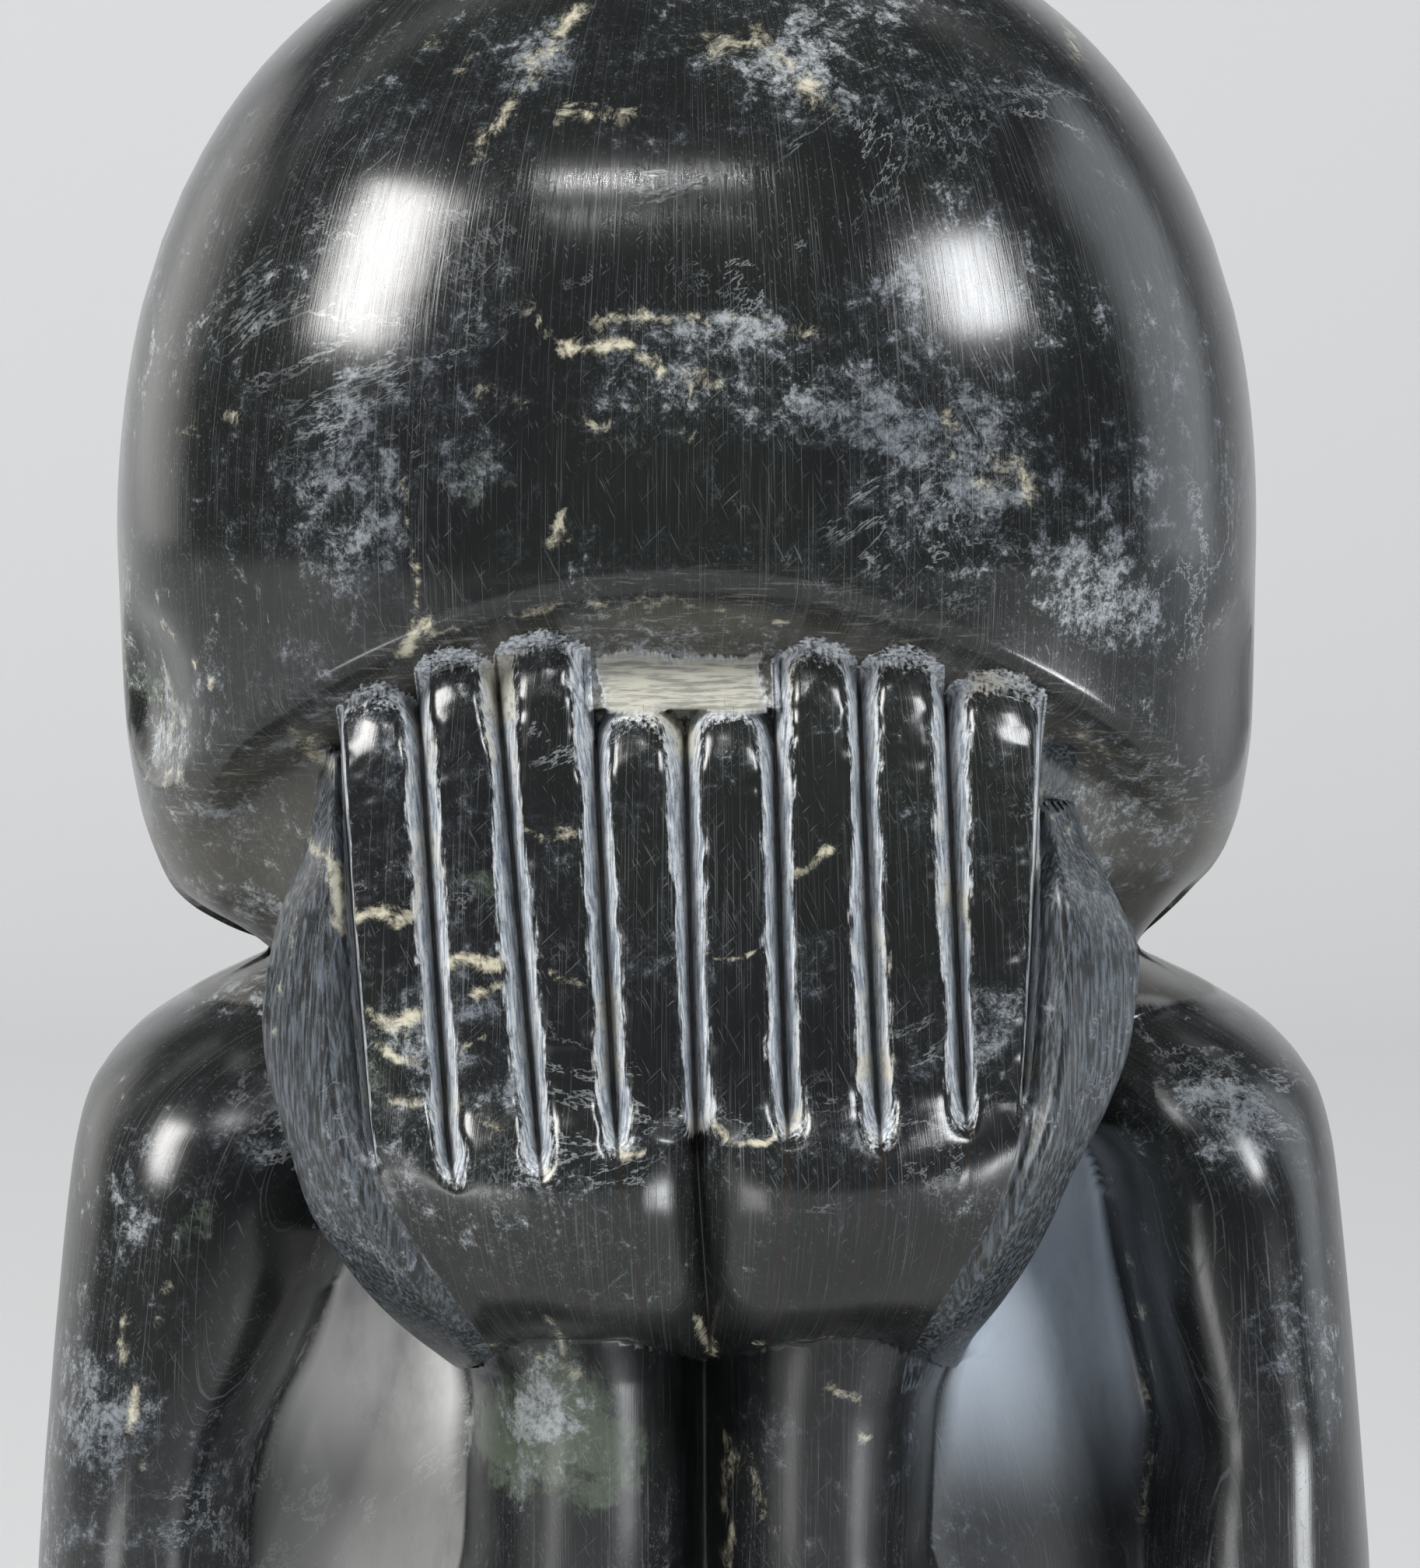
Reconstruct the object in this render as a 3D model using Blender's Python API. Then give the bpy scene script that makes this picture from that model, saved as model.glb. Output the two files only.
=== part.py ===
"""Stone figure sculpture: a head bowed into two raised hands, one carved stone, cut flat below the elbows.

The skin is a closed grid. Its columns are upright lines that follow the finger grooves, the thumbs and
the arm edges, and its rows are level cuts. Each point is found by going out from a line inside the
stone until the carved forms end. The carving is drawn in millimetres at the stone's own size and then
takes the overall width, depth and height that are named first.
"""
import bpy
import numpy as np

for old in list(bpy.data.objects):
    bpy.data.objects.remove(old, do_unlink=True)

# Heights where the forms begin and end.
HEAD_FOOT = 104.0
NECK_TOP = 130.0
ARM_TOP = 112.0
FOREARM_TOP = 88.0

# Bevel round the foot, and how square the level cuts of the forms are.
FOOT_BEVEL = 1.2
TORSO_CORNER = 2.8
CHEST_CORNER = 2.0
LIMB_CORNER = 2.3

# Widths of the soft joins between forms.
JOIN_CHEST = 2.0
JOIN_HEAD = 1.5
JOIN_ARM = 1.2
JOIN_FOREARM = 1.2
JOIN_FOREARMS = 3.0
JOIN_HAND = 0.8

# Overall size in metres. The carving keeps its proportions as shares of these.
STONE_WIDTH = 0.1282
STONE_DEPTH = 0.1104
STONE_HEIGHT = 0.2136

# Head: a tall rounded block, widest at the brow.
HEAD_X = -1.5
HEAD_Z = 151.6
HEAD_RISE = 62.0
HEAD_ROUND = 2.3
HEAD_CORNER = 2.6
HEAD_LOW_RIGHT = ((104, 29), (109, 37), (112.3, 43.2), (113.9, 44.8), (116.5, 47.2), (118.5, 48.9),
                  (120.6, 50.8), (122.7, 52.0), (126.6, 53.3), (135, 54.4), (151.6, 54.7))
HEAD_LOW_LEFT = ((104, 29), (109, 35), (112.3, 40.7), (114.6, 44.8), (116.9, 48.2), (118.8, 50.0),
                 (121, 51.1), (126.6, 52.9), (135, 54.2), (151.6, 54.9))
HEAD_LOW_FRONT = ((104, 30), (111, 42), (117, 47), (125, 51), (137, 54.5), (151.6, 56.0))
HEAD_LOW_BACK = ((104, 20), (110, 30), (116, 40), (124, 47), (137, 51), (151.6, 52.0))

# Brow: the edge arches over the hands and the face is cut back under it.
BROW_Z = 150.5
BROW_FALL = 0.0085
BROW_CUT = 8.5
BROW_BAND = 9.0
BROW_HALF = 52.0
BROW_FADE = 14.0
CHEEK_LOW = 108.0
CHEEK_FADE = 8.0
EAR_Y = -28.0
EAR_LONG = 11.0
EAR_Z = 138.0
EAR_TALL = 9.0
EAR_DEEP = (4.5, 2.25)
EAR_FROM = 44.0

# Neck, shoulders, back and the block below the elbows.
TORSO_HALF = ((0, 60.2), (10, 62), (30, 63.8), (51, 64.1), (60, 63.6), (70, 62.8), (80, 61.9), (90, 60.9),
              (94.6, 60.3), (99.2, 59.1), (103.8, 55.4), (108.3, 48.7), (110.4, 44.2), (111.4, 42.2),
              (114, 41), (120, 39), (130, 34))
TORSO_FRONT = ((0, 36), (10, 34.5), (20, 26), (32, 16), (45, 12), (90, 12), (98, 18), (104, 25), (108, 31),
               (112, 35), (120, 38), (130, 36))
TORSO_BACK = ((0, 31), (20, 34), (50, 36), (80, 36.5), (93, 34.5), (102, 30), (108, 26.5), (112, 26),
              (120, 31), (130, 34))

# Chest: a barrel between the arms that leans back towards the neck.
CHEST_HALF = 50.0
CHEST_INSET = 4.0
CHEST_FRONT = ((0, 34), (14, 34), (24, 31.5), (40, 29.5), (57, 27), (75, 22.5), (88, 18.5), (96, 20),
               (104, 27), (112, 34))
CHEST_BACK = 10.0

# Upper arms: inner edge, front.
ARM_INNER_RIGHT = ((0, 47), (30, 44), (45, 42), (54.5, 42), (61, 42.3), (67.3, 43), (71, 42.3),
                   (76, 41.1), (81.6, 39.8), (85.7, 39), (91.9, 37.8), (98, 33), (108, 26))
ARM_INNER_LEFT = ((0, 47), (30, 45), (45, 43.6), (57.7, 43.4), (61.9, 42.9), (65.5, 42.1), (70.1, 40.4),
                  (73, 38.8), (77.6, 36.7), (82.9, 34.7), (90, 32), (98, 29), (108, 25))
ARM_FRONT = ((0, 24), (12, 30), (30, 35), (60, 35), (80, 34.5), (90, 34), (96, 32.5), (101, 29.5),
             (105, 25.5), (108.5, 20), (112, 12))
ARM_BACK = 12.0

# Outer edge of the thumb above and of the forearm below, then the forearm's front.
EDGE_RIGHT = ((0, 46), (10, 47.5), (20, 47), (28, 43), (34, 38), (40, 32.2), (45, 27.9), (50, 24.6),
              (54, 22.7), (57.4, 21.8), (65.4, 22.1), (70.9, 22.5), (74.2, 23.5), (77.9, 24.8),
              (82.7, 27.8), (86.2, 29.9), (90.1, 31.9), (94.9, 34), (98, 35.7), (101.5, 37.4), (106.4, 39.2),
              (110.5, 39.8), (113.9, 40.1), (116.3, 39.8), (119.4, 38.4), (122.6, 36.6), (126, 34.9),
              (129, 34), (145, 35.5), (151.6, 36))
EDGE_LEFT = ((0, -46), (10, -47.5), (20, -47), (28, -43), (34, -38), (40, -32.8), (45, -28.8), (50, -25.5),
             (54, -23.7), (57.4, -23), (65.8, -22.6), (70.5, -22.3), (74.2, -22.8), (75.8, -24.1),
             (78.8, -27.1), (83, -30.8), (87.6, -34), (91.3, -36.2), (97.8, -38.3), (105.1, -40.3),
             (108.7, -40.6), (113, -40.2), (118.8, -39), (123.8, -36.9), (133.5, -35.2), (145, -36.8),
             (151.6, -37.5))
FOREARM_INNER = ((0, 30), (6, 26.5), (12, 23.8), (20, 19.6), (27, 15.2), (33, 11.2), (39, 7.4), (44, 4.4),
                 (49, 1.6), (54, 0.3), (60, 0), (90, 0))
FOREARM_FRONT = ((3, 24), (8, 32), (14, 36.5), (22, 38.5), (32, 39.6), (42, 40.8), (52, 42), (60, 42.6),
                 (70, 43), (78, 43.5), (90, 44))
FOREARM_BACK = 14.0
WRIST_DRIFT = 0.6
WRIST_OVERLAP = 0.4

# Finger grooves from left to right, each as x at the heights of GROOVE_Z.
GROOVE_Z = (0, 12, 20, 30, 40, 48, 57, 73, 98, 103, 145)
GROOVE_X = ((-42, -43, -42, -36.5, -27.5, -21.2, -18.5, -18.6, -30.3, -30.9, -34.2),
            (-38, -37, -35, -28.5, -20.5, -15.8, -14.2, -14.2, -23.3, -23.7, -26.6),
            (-34, -31, -28, -21.2, -14.0, -10.6, -9.8, -9.6, -15.0, -15.5, -19.3),
            (-30, -24.6, -20.4, -14.0, -7.8, -5.4, -4.7, -4.5, -7.8, -8.2, -10.4),
            (0, 0, 0, 0, 0.2, 0.4, 0.5, 0.7, -0.6, -0.8, -1.9),
            (30, 24.6, 20.4, 14.0, 7.8, 5.8, 5.6, 5.6, 7.7, 7.5, 6.2),
            (34, 31, 28, 21.2, 14.0, 10.8, 10.3, 10.3, 16.1, 15.8, 14.0),
            (38, 37, 35, 28.5, 20.5, 15.9, 14.4, 14.6, 24.1, 23.8, 21.9),
            (42, 43, 42, 36.5, 27.5, 21.0, 18.2, 18.4, 28.6, 29.3, 31.6))
GROOVE_DEEP = 3.4
GROOVE_SHARE = 0.58
OUTER_SHARE = 0.86
WALL_CURVE = 1.1
CUT_LEAD = 1.5
CUT_RUN = 4.0
FINGER_CROWN = 0.5
TIP_LENGTH = 6.5
TIP_FALL = 3.6
TIP_DROP = 2.4
TIP_CURVE = 2.2
GROOVE_END = (97.0, 95.5, 96.5, 98.5, 99.5, 99.5, 99.0, 100.3, 101.5)
FINGER_TIP = (139.6, 143.3, 144.8, 138.1, 138.5, 143.9, 143.3, 141.0)
HAND_FRONT = ((72, 42), (75, 43.5), (78, 46.5), (81, 50), (84.5, 53), (88.5, 55.2), (93, 56.6), (98, 57),
              (104, 56.2), (115, 55.3), (131, 53.6), (145, 50.5))
HAND_BEND = 0.0042
HAND_LOW = ((-28, 73.5), (-23, 74.5), (-19, 77.5), (-15, 79.3), (-8, 79.2), (-3, 77.4), (0, 76.2),
            (3, 77.2), (8, 78.8), (15, 79.2), (19, 77.6), (23, 74.8), (28, 73.5))
PALM_LIP = 1.5
CREASE_DEEP = 4.2
CREASE_WIDE = 2.4
CREASE_TOP = 101.5
CREASE_FADE = 3.0
HEEL_LENGTH = 7.0
HEEL_FALL = 4.0
LEDGE_LOW = 137.6
LEDGE_HIGH = 142.6
LEDGE_DEPTH = 47.4
LEDGE_SLOPE = 0.62
LEDGE_REACH = 0.5
LEDGE_LIP = 1.0
PALM_SWELL = 2.4
SWELL_HIGH = (104.0, 10.0)
SWELL_LOW = (73.0, 9.0)
THUMB_TIP = (133.3, 128.2)
THUMB_RIDGE = 0.32
THUMB_FALL = 6.5
THUMB_CURVE = 1.3
THUMB_DIP = 2.6
THUMB_BLEND = ((0.35, 78.0), (0.65, 94.0))
BLEND_RUN = 10.0
THUMB_DROP = 5.0
DROP_RUN = 9.0
EDGE_SLACK = 0.05

# Half length of the inner line that the points are found from.
LINE_HALF = ((0, 50), (60, 51), (92, 50), (100, 47.5), (106, 43.2), (109, 41.6), (111.4, 41.0), (113, 41.0),
             (117, 42.0), (125, 42.6), (151.6, 42.6))
ROW_SAG = ((0, 0), (113, 0), (120, 1.5), (138, 9.5), (145, 12), (151, 12), (170, 6), (190, 1), (196, 0),
           (220, 0))
SAG_HALF = 38.0
SAG_MOST = 1.3

# The inner line moves over to the head's middle above the chest, and the arms' stops move in below.
SHIFT_LOW = 111.0
SHIFT_RUN = 12.0
ARM_SHARE = 0.4
ARM_STOPS = (92.0, 84.0)
ARM_RUN = 4.0

# Search outwards: the farthest point in millimetres, the halvings after it, and a reach no form has.
FARTHEST = 76
HALVINGS = 14
ABSENT = 400.0

# Grid: columns between the named lines, angles round each side, and the level cuts.
COUNT_FINGER = 4
COUNT_THUMB = 3
COUNT_OUTER = 2
SIDE_ANGLES = (6, 13, 21, 31, 45, 66, 90, 114, 135, 152, 167)
COUNT_BACK = 8
ROWS = (0, FOOT_BEVEL, 8, 16, 24, 32, 40, 48, 56, 63, 69, 73, 76, 77.6, 79.5, 82.5, 86, 89.5, 93, 95.5,
        97.5, 99.5, 101.5, 104, 106.5, 109, 110.6, 111.4, 112.4, 114.5, 117, 119.5, 122, 125, 128, 130.5,
        133, 135.5, 137.6, 138.6, 140, 141.4, 142.8, 144.2, 145.6, 147.4, 149.4, 151.6, 155, 160, 166,
        172, 178)
CROWN_SHARES = (0.82, 0.74, 0.65, 0.56, 0.46, 0.35, 0.23, 0.11)


def along(z, pairs):
    """Value of a size at z, on a smooth curve through the stated pairs that never swings past them."""
    at, value = (np.array(part, float) for part in zip(*pairs))
    gap = np.diff(at)
    slope = np.diff(value) / gap
    level = slope[:-1] * slope[1:] <= 0
    total = np.where(level, 1.0, slope[:-1] + slope[1:])
    bend = np.where(level, 0.0, 2 * slope[:-1] * slope[1:] / total)
    bend = np.concatenate([slope[:1], bend, slope[-1:]])
    z = np.clip(z, at[0], at[-1])
    k = np.clip(np.searchsorted(at, z, side="right") - 1, 0, len(gap) - 1)
    h = gap[k]
    t = (z - at[k]) / h
    start = value[k] * (1 + 2 * t) + h * bend[k] * t
    end = value[k + 1] * (3 - 2 * t) + h * bend[k + 1] * (t - 1)
    return start * (1 - t) ** 2 + end * t ** 2


def soft_least(a, b, k):
    """The lesser of two, rounded over a band of width k where they are near each other."""
    h = np.clip(0.5 + 0.5 * (b - a) / k, 0.0, 1.0)
    return b * (1 - h) + a * h - k * h * (1 - h)


def soft_most(a, b, k):
    """The greater of two, rounded over a band of width k."""
    return -soft_least(-a, -b, k)


def ease(t):
    """A smooth rise from 0 to 1 as t goes from 0 to 1."""
    t = np.clip(t, 0.0, 1.0)
    return t * t * (3 - 2 * t)


def oval(x, y, left, right, front, back, power):
    """Signed reach of a level cut: a rounded box from left to right and from -front to back."""
    cx = 0.5 * (left + right)
    cy = 0.5 * (back - front)
    ax = np.maximum(0.5 * (right - left), 0.5)
    ay = np.maximum(0.5 * (back + front), 0.5)
    rho = ((np.abs(x - cx) / ax) ** power + (np.abs(y - cy) / ay) ** power) ** (1.0 / power)
    return (rho - 1.0) * np.minimum(ax, ay)


def dome(z):
    """Share of the head's full width left at height z above the brow."""
    up = np.clip((z - HEAD_Z) / HEAD_RISE, 0.0, 1.0)
    return (1.0 - up ** HEAD_ROUND) ** (1.0 / HEAD_ROUND)


def level_sizes(z):
    """The sizes of every form at heights z, worked out once."""
    share = dome(z)
    half = along(z, TORSO_HALF)
    front = along(z, ARM_FRONT)
    middle = WRIST_DRIFT * ease((FOREARM_TOP - z) / FOREARM_TOP)
    fore = along(z, FOREARM_FRONT)
    head = (HEAD_X - along(z, HEAD_LOW_LEFT) * share, HEAD_X + along(z, HEAD_LOW_RIGHT) * share,
            along(z, HEAD_LOW_FRONT) * share, along(z, HEAD_LOW_BACK) * share, HEAD_CORNER)
    torso = (-half, half, along(z, TORSO_FRONT), along(z, TORSO_BACK), TORSO_CORNER)
    arm_right = (along(z, ARM_INNER_RIGHT), half, front, ARM_BACK, LIMB_CORNER)
    arm_left = (-half, -along(z, ARM_INNER_LEFT), front, ARM_BACK, LIMB_CORNER)
    inner = along(z, FOREARM_INNER)
    fore_right = (middle - WRIST_OVERLAP + inner, along(z, EDGE_RIGHT), fore, FOREARM_BACK, LIMB_CORNER)
    fore_left = (along(z, EDGE_LEFT), middle + WRIST_OVERLAP - inner, fore, FOREARM_BACK, LIMB_CORNER)
    wide = np.minimum(CHEST_HALF, half - CHEST_INSET)
    chest = (-wide, wide, along(z, CHEST_FRONT), CHEST_BACK, CHEST_CORNER)
    outside = (ABSENT * (z < HEAD_FOOT), ABSENT * (z > NECK_TOP), ABSENT * (z > ARM_TOP),
               ABSENT * (z > FOREARM_TOP))
    return head, torso, chest, arm_right, arm_left, fore_right, fore_left, outside


def body(x, y, z, sizes):
    """Signed reach of the plain stone: head, torso, upper arms and forearms joined softly."""
    head, torso, chest, arm_right, arm_left, fore_right, fore_left, outside = sizes
    head = oval(x, y, *head) + outside[0]
    torso = oval(x, y, *torso) + outside[1]
    chest = oval(x, y, *chest) + outside[2]
    arms = np.minimum(oval(x, y, *arm_right), oval(x, y, *arm_left)) + outside[2]
    fore = soft_least(oval(x, y, *fore_right), oval(x, y, *fore_left), JOIN_FOREARMS) + outside[3]
    whole = soft_least(soft_least(torso, chest, JOIN_CHEST), head, JOIN_HEAD)
    whole = soft_least(whole, arms, JOIN_ARM)
    return soft_least(whole, fore, JOIN_FOREARM)


def reach(x, ux, uy, z):
    """Distance from the inner line along each direction to the outermost point of the stone."""
    sizes = level_sizes(z)
    far = np.full(x.shape, float(FARTHEST))
    near = np.zeros(x.shape)
    found = np.zeros(x.shape, bool)
    for step in range(FARTHEST):
        t = FARTHEST - 1.0 - step
        inside = body(x + ux * t, uy * t, z, sizes) < 0.0
        new = inside & ~found
        near = np.where(new, t, near)
        far = np.where(new, t + 1.0, far)
        found = found | inside
    for _ in range(HALVINGS):
        mid = 0.5 * (near + far)
        inside = body(x + ux * mid, uy * mid, z, sizes) < 0.0
        near = np.where(inside, mid, near)
        far = np.where(inside, far, mid)
    return 0.5 * (near + far)


def grooves(z):
    """The nine groove lines at height z, first axis left to right."""
    return np.array([along(z, tuple(zip(GROOVE_Z, line))) for line in GROOVE_X])


def hands(x, z):
    """Depth in front of the inner line of the hands' skin, and 0 where there is no hand."""
    lines = grooves(z)
    left_edge = along(z, EDGE_LEFT)
    right_edge = along(z, EDGE_RIGHT)
    front = along(z, HAND_FRONT) - HAND_BEND * (x - lines[4]) ** 2
    skin = np.zeros_like(x)
    palm = ease((z - along(x, HAND_LOW) + PALM_LIP) / PALM_LIP)
    for i in range(8):
        wide = np.maximum(lines[i + 1] - lines[i], 0.5)
        f = np.clip((x - lines[i]) / wide, 0.0, 1.0)
        end = GROOVE_END[i] * (1 - f) + GROOVE_END[i + 1] * f
        cut = ease((z - end + CUT_LEAD) / CUT_RUN)
        edge = np.abs(2 * f - 1)
        outer = (i == 0) & (f < 0.5) | (i == 7) & (f > 0.5)
        share = np.where(outer, OUTER_SHARE, GROOVE_SHARE)
        wall = np.clip((edge - share) / (1 - share), 0.0, 1.0) ** WALL_CURVE
        tip = FINGER_TIP[i] - TIP_DROP * edge ** TIP_CURVE
        over = np.clip((z - tip + TIP_LENGTH) / TIP_LENGTH, 0.0, 1.0)
        round_off = TIP_FALL * (1 - np.sqrt(np.maximum(1 - over ** 2, 0.0)))
        height = front - cut * (GROOVE_DEEP * wall + FINGER_CROWN * edge ** 2) - round_off
        height = np.where(z > tip, 0.0, height)
        here = (x >= lines[i]) & (x <= lines[i + 1])
        skin = np.where(here, height, skin)
    crease = np.exp(-np.abs(x - lines[4]) / CREASE_WIDE) * ease((CREASE_TOP - z) / CREASE_FADE)
    side = np.clip(np.abs(x - lines[4]) / np.maximum(lines[8] - lines[4], 1.0), 0.0, 1.0)
    swell = PALM_SWELL * np.sin(np.pi * side) * ease((SWELL_HIGH[0] - z) / SWELL_HIGH[1])
    swell = swell * ease((z - SWELL_LOW[0]) / SWELL_LOW[1])
    skin = skin + (swell - CREASE_DEEP * crease) * (skin > 0)
    for side in (0, 1):
        inner = lines[8] if side else lines[0]
        outer = right_edge if side else left_edge
        t = np.clip((x - inner) / (outer - inner), 0.0, 1.0)
        slope = np.maximum(t - THUMB_RIDGE, 0.0) / (1 - THUMB_RIDGE)
        blend = sum(share * ease((z - start) / BLEND_RUN) for share, start in THUMB_BLEND)
        dip = -THUMB_DIP * blend * (1 - t / THUMB_RIDGE)
        rise = np.where(t < THUMB_RIDGE, dip, -THUMB_FALL * slope ** THUMB_CURVE)
        tip = THUMB_TIP[side]
        base = along(z, HAND_FRONT) - HAND_BEND * (inner - lines[4]) ** 2
        drop = THUMB_DROP * ease((z - tip + DROP_RUN) / DROP_RUN)
        height = np.where(z > tip, 0.0, base + rise - drop)
        on_right = (x > inner) & (x <= outer + EDGE_SLACK)
        on_left = (x < inner) & (x >= outer - EDGE_SLACK)
        here = on_right if side else on_left
        skin = np.where(here, height, skin)
    on_ledge = (x > lines[3] - LEDGE_REACH) & (x < lines[5] + LEDGE_REACH)
    on_ledge = on_ledge & (z > LEDGE_LOW) & (z < LEDGE_HIGH + LEDGE_LIP)
    shelf = LEDGE_DEPTH + LEDGE_SLOPE * (LEDGE_HIGH - z)
    skin = np.where(on_ledge, np.maximum(skin, shelf), skin)
    heel = np.clip(1 - (z - along(x, HAND_LOW)) / HEEL_LENGTH, 0.0, 1.0)
    skin = skin - HEEL_FALL * (1 - np.sqrt(1 - heel ** 2))
    return np.maximum(skin, 0.0) * palm


def brow_cut(x, z):
    """How far the face is cut back under the arched brow."""
    edge = BROW_Z - BROW_FALL * (x - HEAD_X) ** 2
    back = BROW_CUT * ease((edge - z) / BROW_BAND)
    fade = ease((BROW_HALF - np.abs(x - HEAD_X)) / BROW_FADE) * ease((z - CHEEK_LOW) / CHEEK_FADE)
    return back * fade


def ear_pit(x, y, z):
    """Depth of the small scooped hollow at each side of the head, deeper on the left."""
    along_y = (y - EAR_Y) / EAR_LONG
    along_z = (z - EAR_Z) / EAR_TALL
    deep = np.where(x < 0, EAR_DEEP[0], EAR_DEEP[1]) * (np.abs(x) > EAR_FROM)
    return deep * np.clip(1 - along_y ** 2 - along_z ** 2, 0.0, 1.0)


def column_plan():
    """For every column: the stop it starts from, its share of the way to the next stop, and its direction."""
    steps = [COUNT_OUTER, COUNT_OUTER, COUNT_THUMB] + [COUNT_FINGER] * 8
    steps = steps + [COUNT_THUMB, COUNT_OUTER, COUNT_OUTER]
    plan = [(k, i / count, 0.0) for k, count in enumerate(steps) for i in range(count)]
    last = len(steps)
    plan.append((last - 1, 1.0, 0.0))
    plan = plan + [(last - 1, 1.0, angle) for angle in SIDE_ANGLES]
    plan = plan + [(last, i / COUNT_BACK, 180.0) for i in range(COUNT_BACK + 1)]
    plan = plan + [(0, 0.0, -angle) for angle in reversed(SIDE_ANGLES)]
    stop, share, angle = (np.array(part) for part in zip(*plan))
    return stop.astype(int), share, np.radians(angle)


def column_start(z, stop, share):
    """Start x of every column at its own heights: stops run left to right and then back to the first."""
    crown = np.where(z > HEAD_Z, dome(z), 1.0)
    half = along(z, LINE_HALF) * crown
    mid = HEAD_X * ease((z - SHIFT_LOW) / SHIFT_RUN)
    right_edge = along(z, EDGE_RIGHT) * crown
    left_edge = along(z, EDGE_LEFT) * crown
    right_arm = right_edge + ARM_SHARE * (mid + half - right_edge)
    left_arm = left_edge + ARM_SHARE * (mid - half - left_edge)
    low = ease((ARM_STOPS[0] - z) / ARM_RUN)
    right_arm = right_arm * (1 - low) + np.maximum(along(z, ARM_INNER_RIGHT), right_edge + 1.0) * low
    low = ease((ARM_STOPS[1] - z) / ARM_RUN)
    left_arm = left_arm * (1 - low) - np.maximum(along(z, ARM_INNER_LEFT), 1.0 - left_edge) * low
    stops = [mid - half, left_arm, left_edge] + list(grooves(z) * crown)
    stops = np.array(stops + [right_edge, right_arm, mid + half, mid - half])
    index = np.broadcast_to(stop, z.shape)[None]
    here = np.take_along_axis(stops, index, axis=0)[0]
    after = np.take_along_axis(stops, index + 1, axis=0)[0]
    return here * (1 - share) + after * share


def skin_points():
    """Rows by columns by three, in millimetres. The rows sag at the sides to follow the arched brow."""
    crown = [HEAD_Z + HEAD_RISE * (1 - s ** HEAD_ROUND) ** (1 / HEAD_ROUND) for s in CROWN_SHARES]
    rows = np.array(sorted(set(ROWS) | set(crown)))
    stop, share, angle = column_plan()
    level = np.repeat(rows[:, None], len(stop), axis=1)
    x = column_start(level, stop, share)
    sag = along(level, ROW_SAG) * np.minimum(((x - HEAD_X) / SAG_HALF) ** 2, SAG_MOST)
    z = level - sag * np.cos(0.5 * angle) ** 2
    x = column_start(z, stop, share)
    ux = np.broadcast_to(np.sin(angle), z.shape)
    uy = np.broadcast_to(-np.cos(angle), z.shape)
    t = reach(x, ux, uy, z)
    px = x + ux * t
    py = uy * t
    facing = uy < -0.9
    t = t - np.where(facing, brow_cut(px, z), 0.0)
    t = t - ear_pit(px, py, z)
    straight = uy < -0.999
    t = np.where(straight, soft_most(t, hands(x, z), JOIN_HAND), t)
    t = np.where(level < FOOT_BEVEL, t - FOOT_BEVEL, t)
    return np.stack([x + ux * t, uy * t, z], axis=-1)


def stone_mesh(name, points):
    """Closed mesh from the rows, with one point at the crown and one flat face below."""
    rows, count = points.shape[:2]
    top = points[-1].mean(axis=0)
    top[2] = HEAD_Z + HEAD_RISE
    verts = np.concatenate([points.reshape(-1, 3), top[None, :]])
    low = verts.min(axis=0)
    high = verts.max(axis=0)
    centre = np.array([0.5 * (low[0] + high[0]), 0.5 * (low[1] + high[1]), low[2]])
    verts = (verts - centre) * np.array([STONE_WIDTH, STONE_DEPTH, STONE_HEIGHT]) / (high - low)
    faces = []
    for r in range(rows - 1):
        for c in range(count):
            d = (c + 1) % count
            a0 = r * count + c
            b0 = r * count + d
            a1 = a0 + count
            b1 = b0 + count
            faces.append((a0, b0, b1))
            faces.append((a0, b1, a1))
    last = (rows - 1) * count
    for c in range(count):
        faces.append((last + c, last + (c + 1) % count, rows * count))
    faces.append(tuple(reversed(range(count))))
    mesh = bpy.data.meshes.new(name)
    mesh.from_pydata(verts.tolist(), [], faces)
    mesh.update()
    return mesh


def stone_material(name):
    """Plain near-black green stone."""
    mat = bpy.data.materials.new(name)
    mat.use_nodes = True
    shader = mat.node_tree.nodes["Principled BSDF"]
    shader.inputs["Base Color"].default_value = (0.028, 0.034, 0.030, 1.0)
    shader.inputs["Roughness"].default_value = 0.3
    return mat


figure = bpy.data.objects.new("stone_figure", stone_mesh("stone_figure", skin_points()))
bpy.context.scene.collection.objects.link(figure)
figure.data.materials.append(stone_material("serpentine"))
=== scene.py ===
import math

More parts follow.
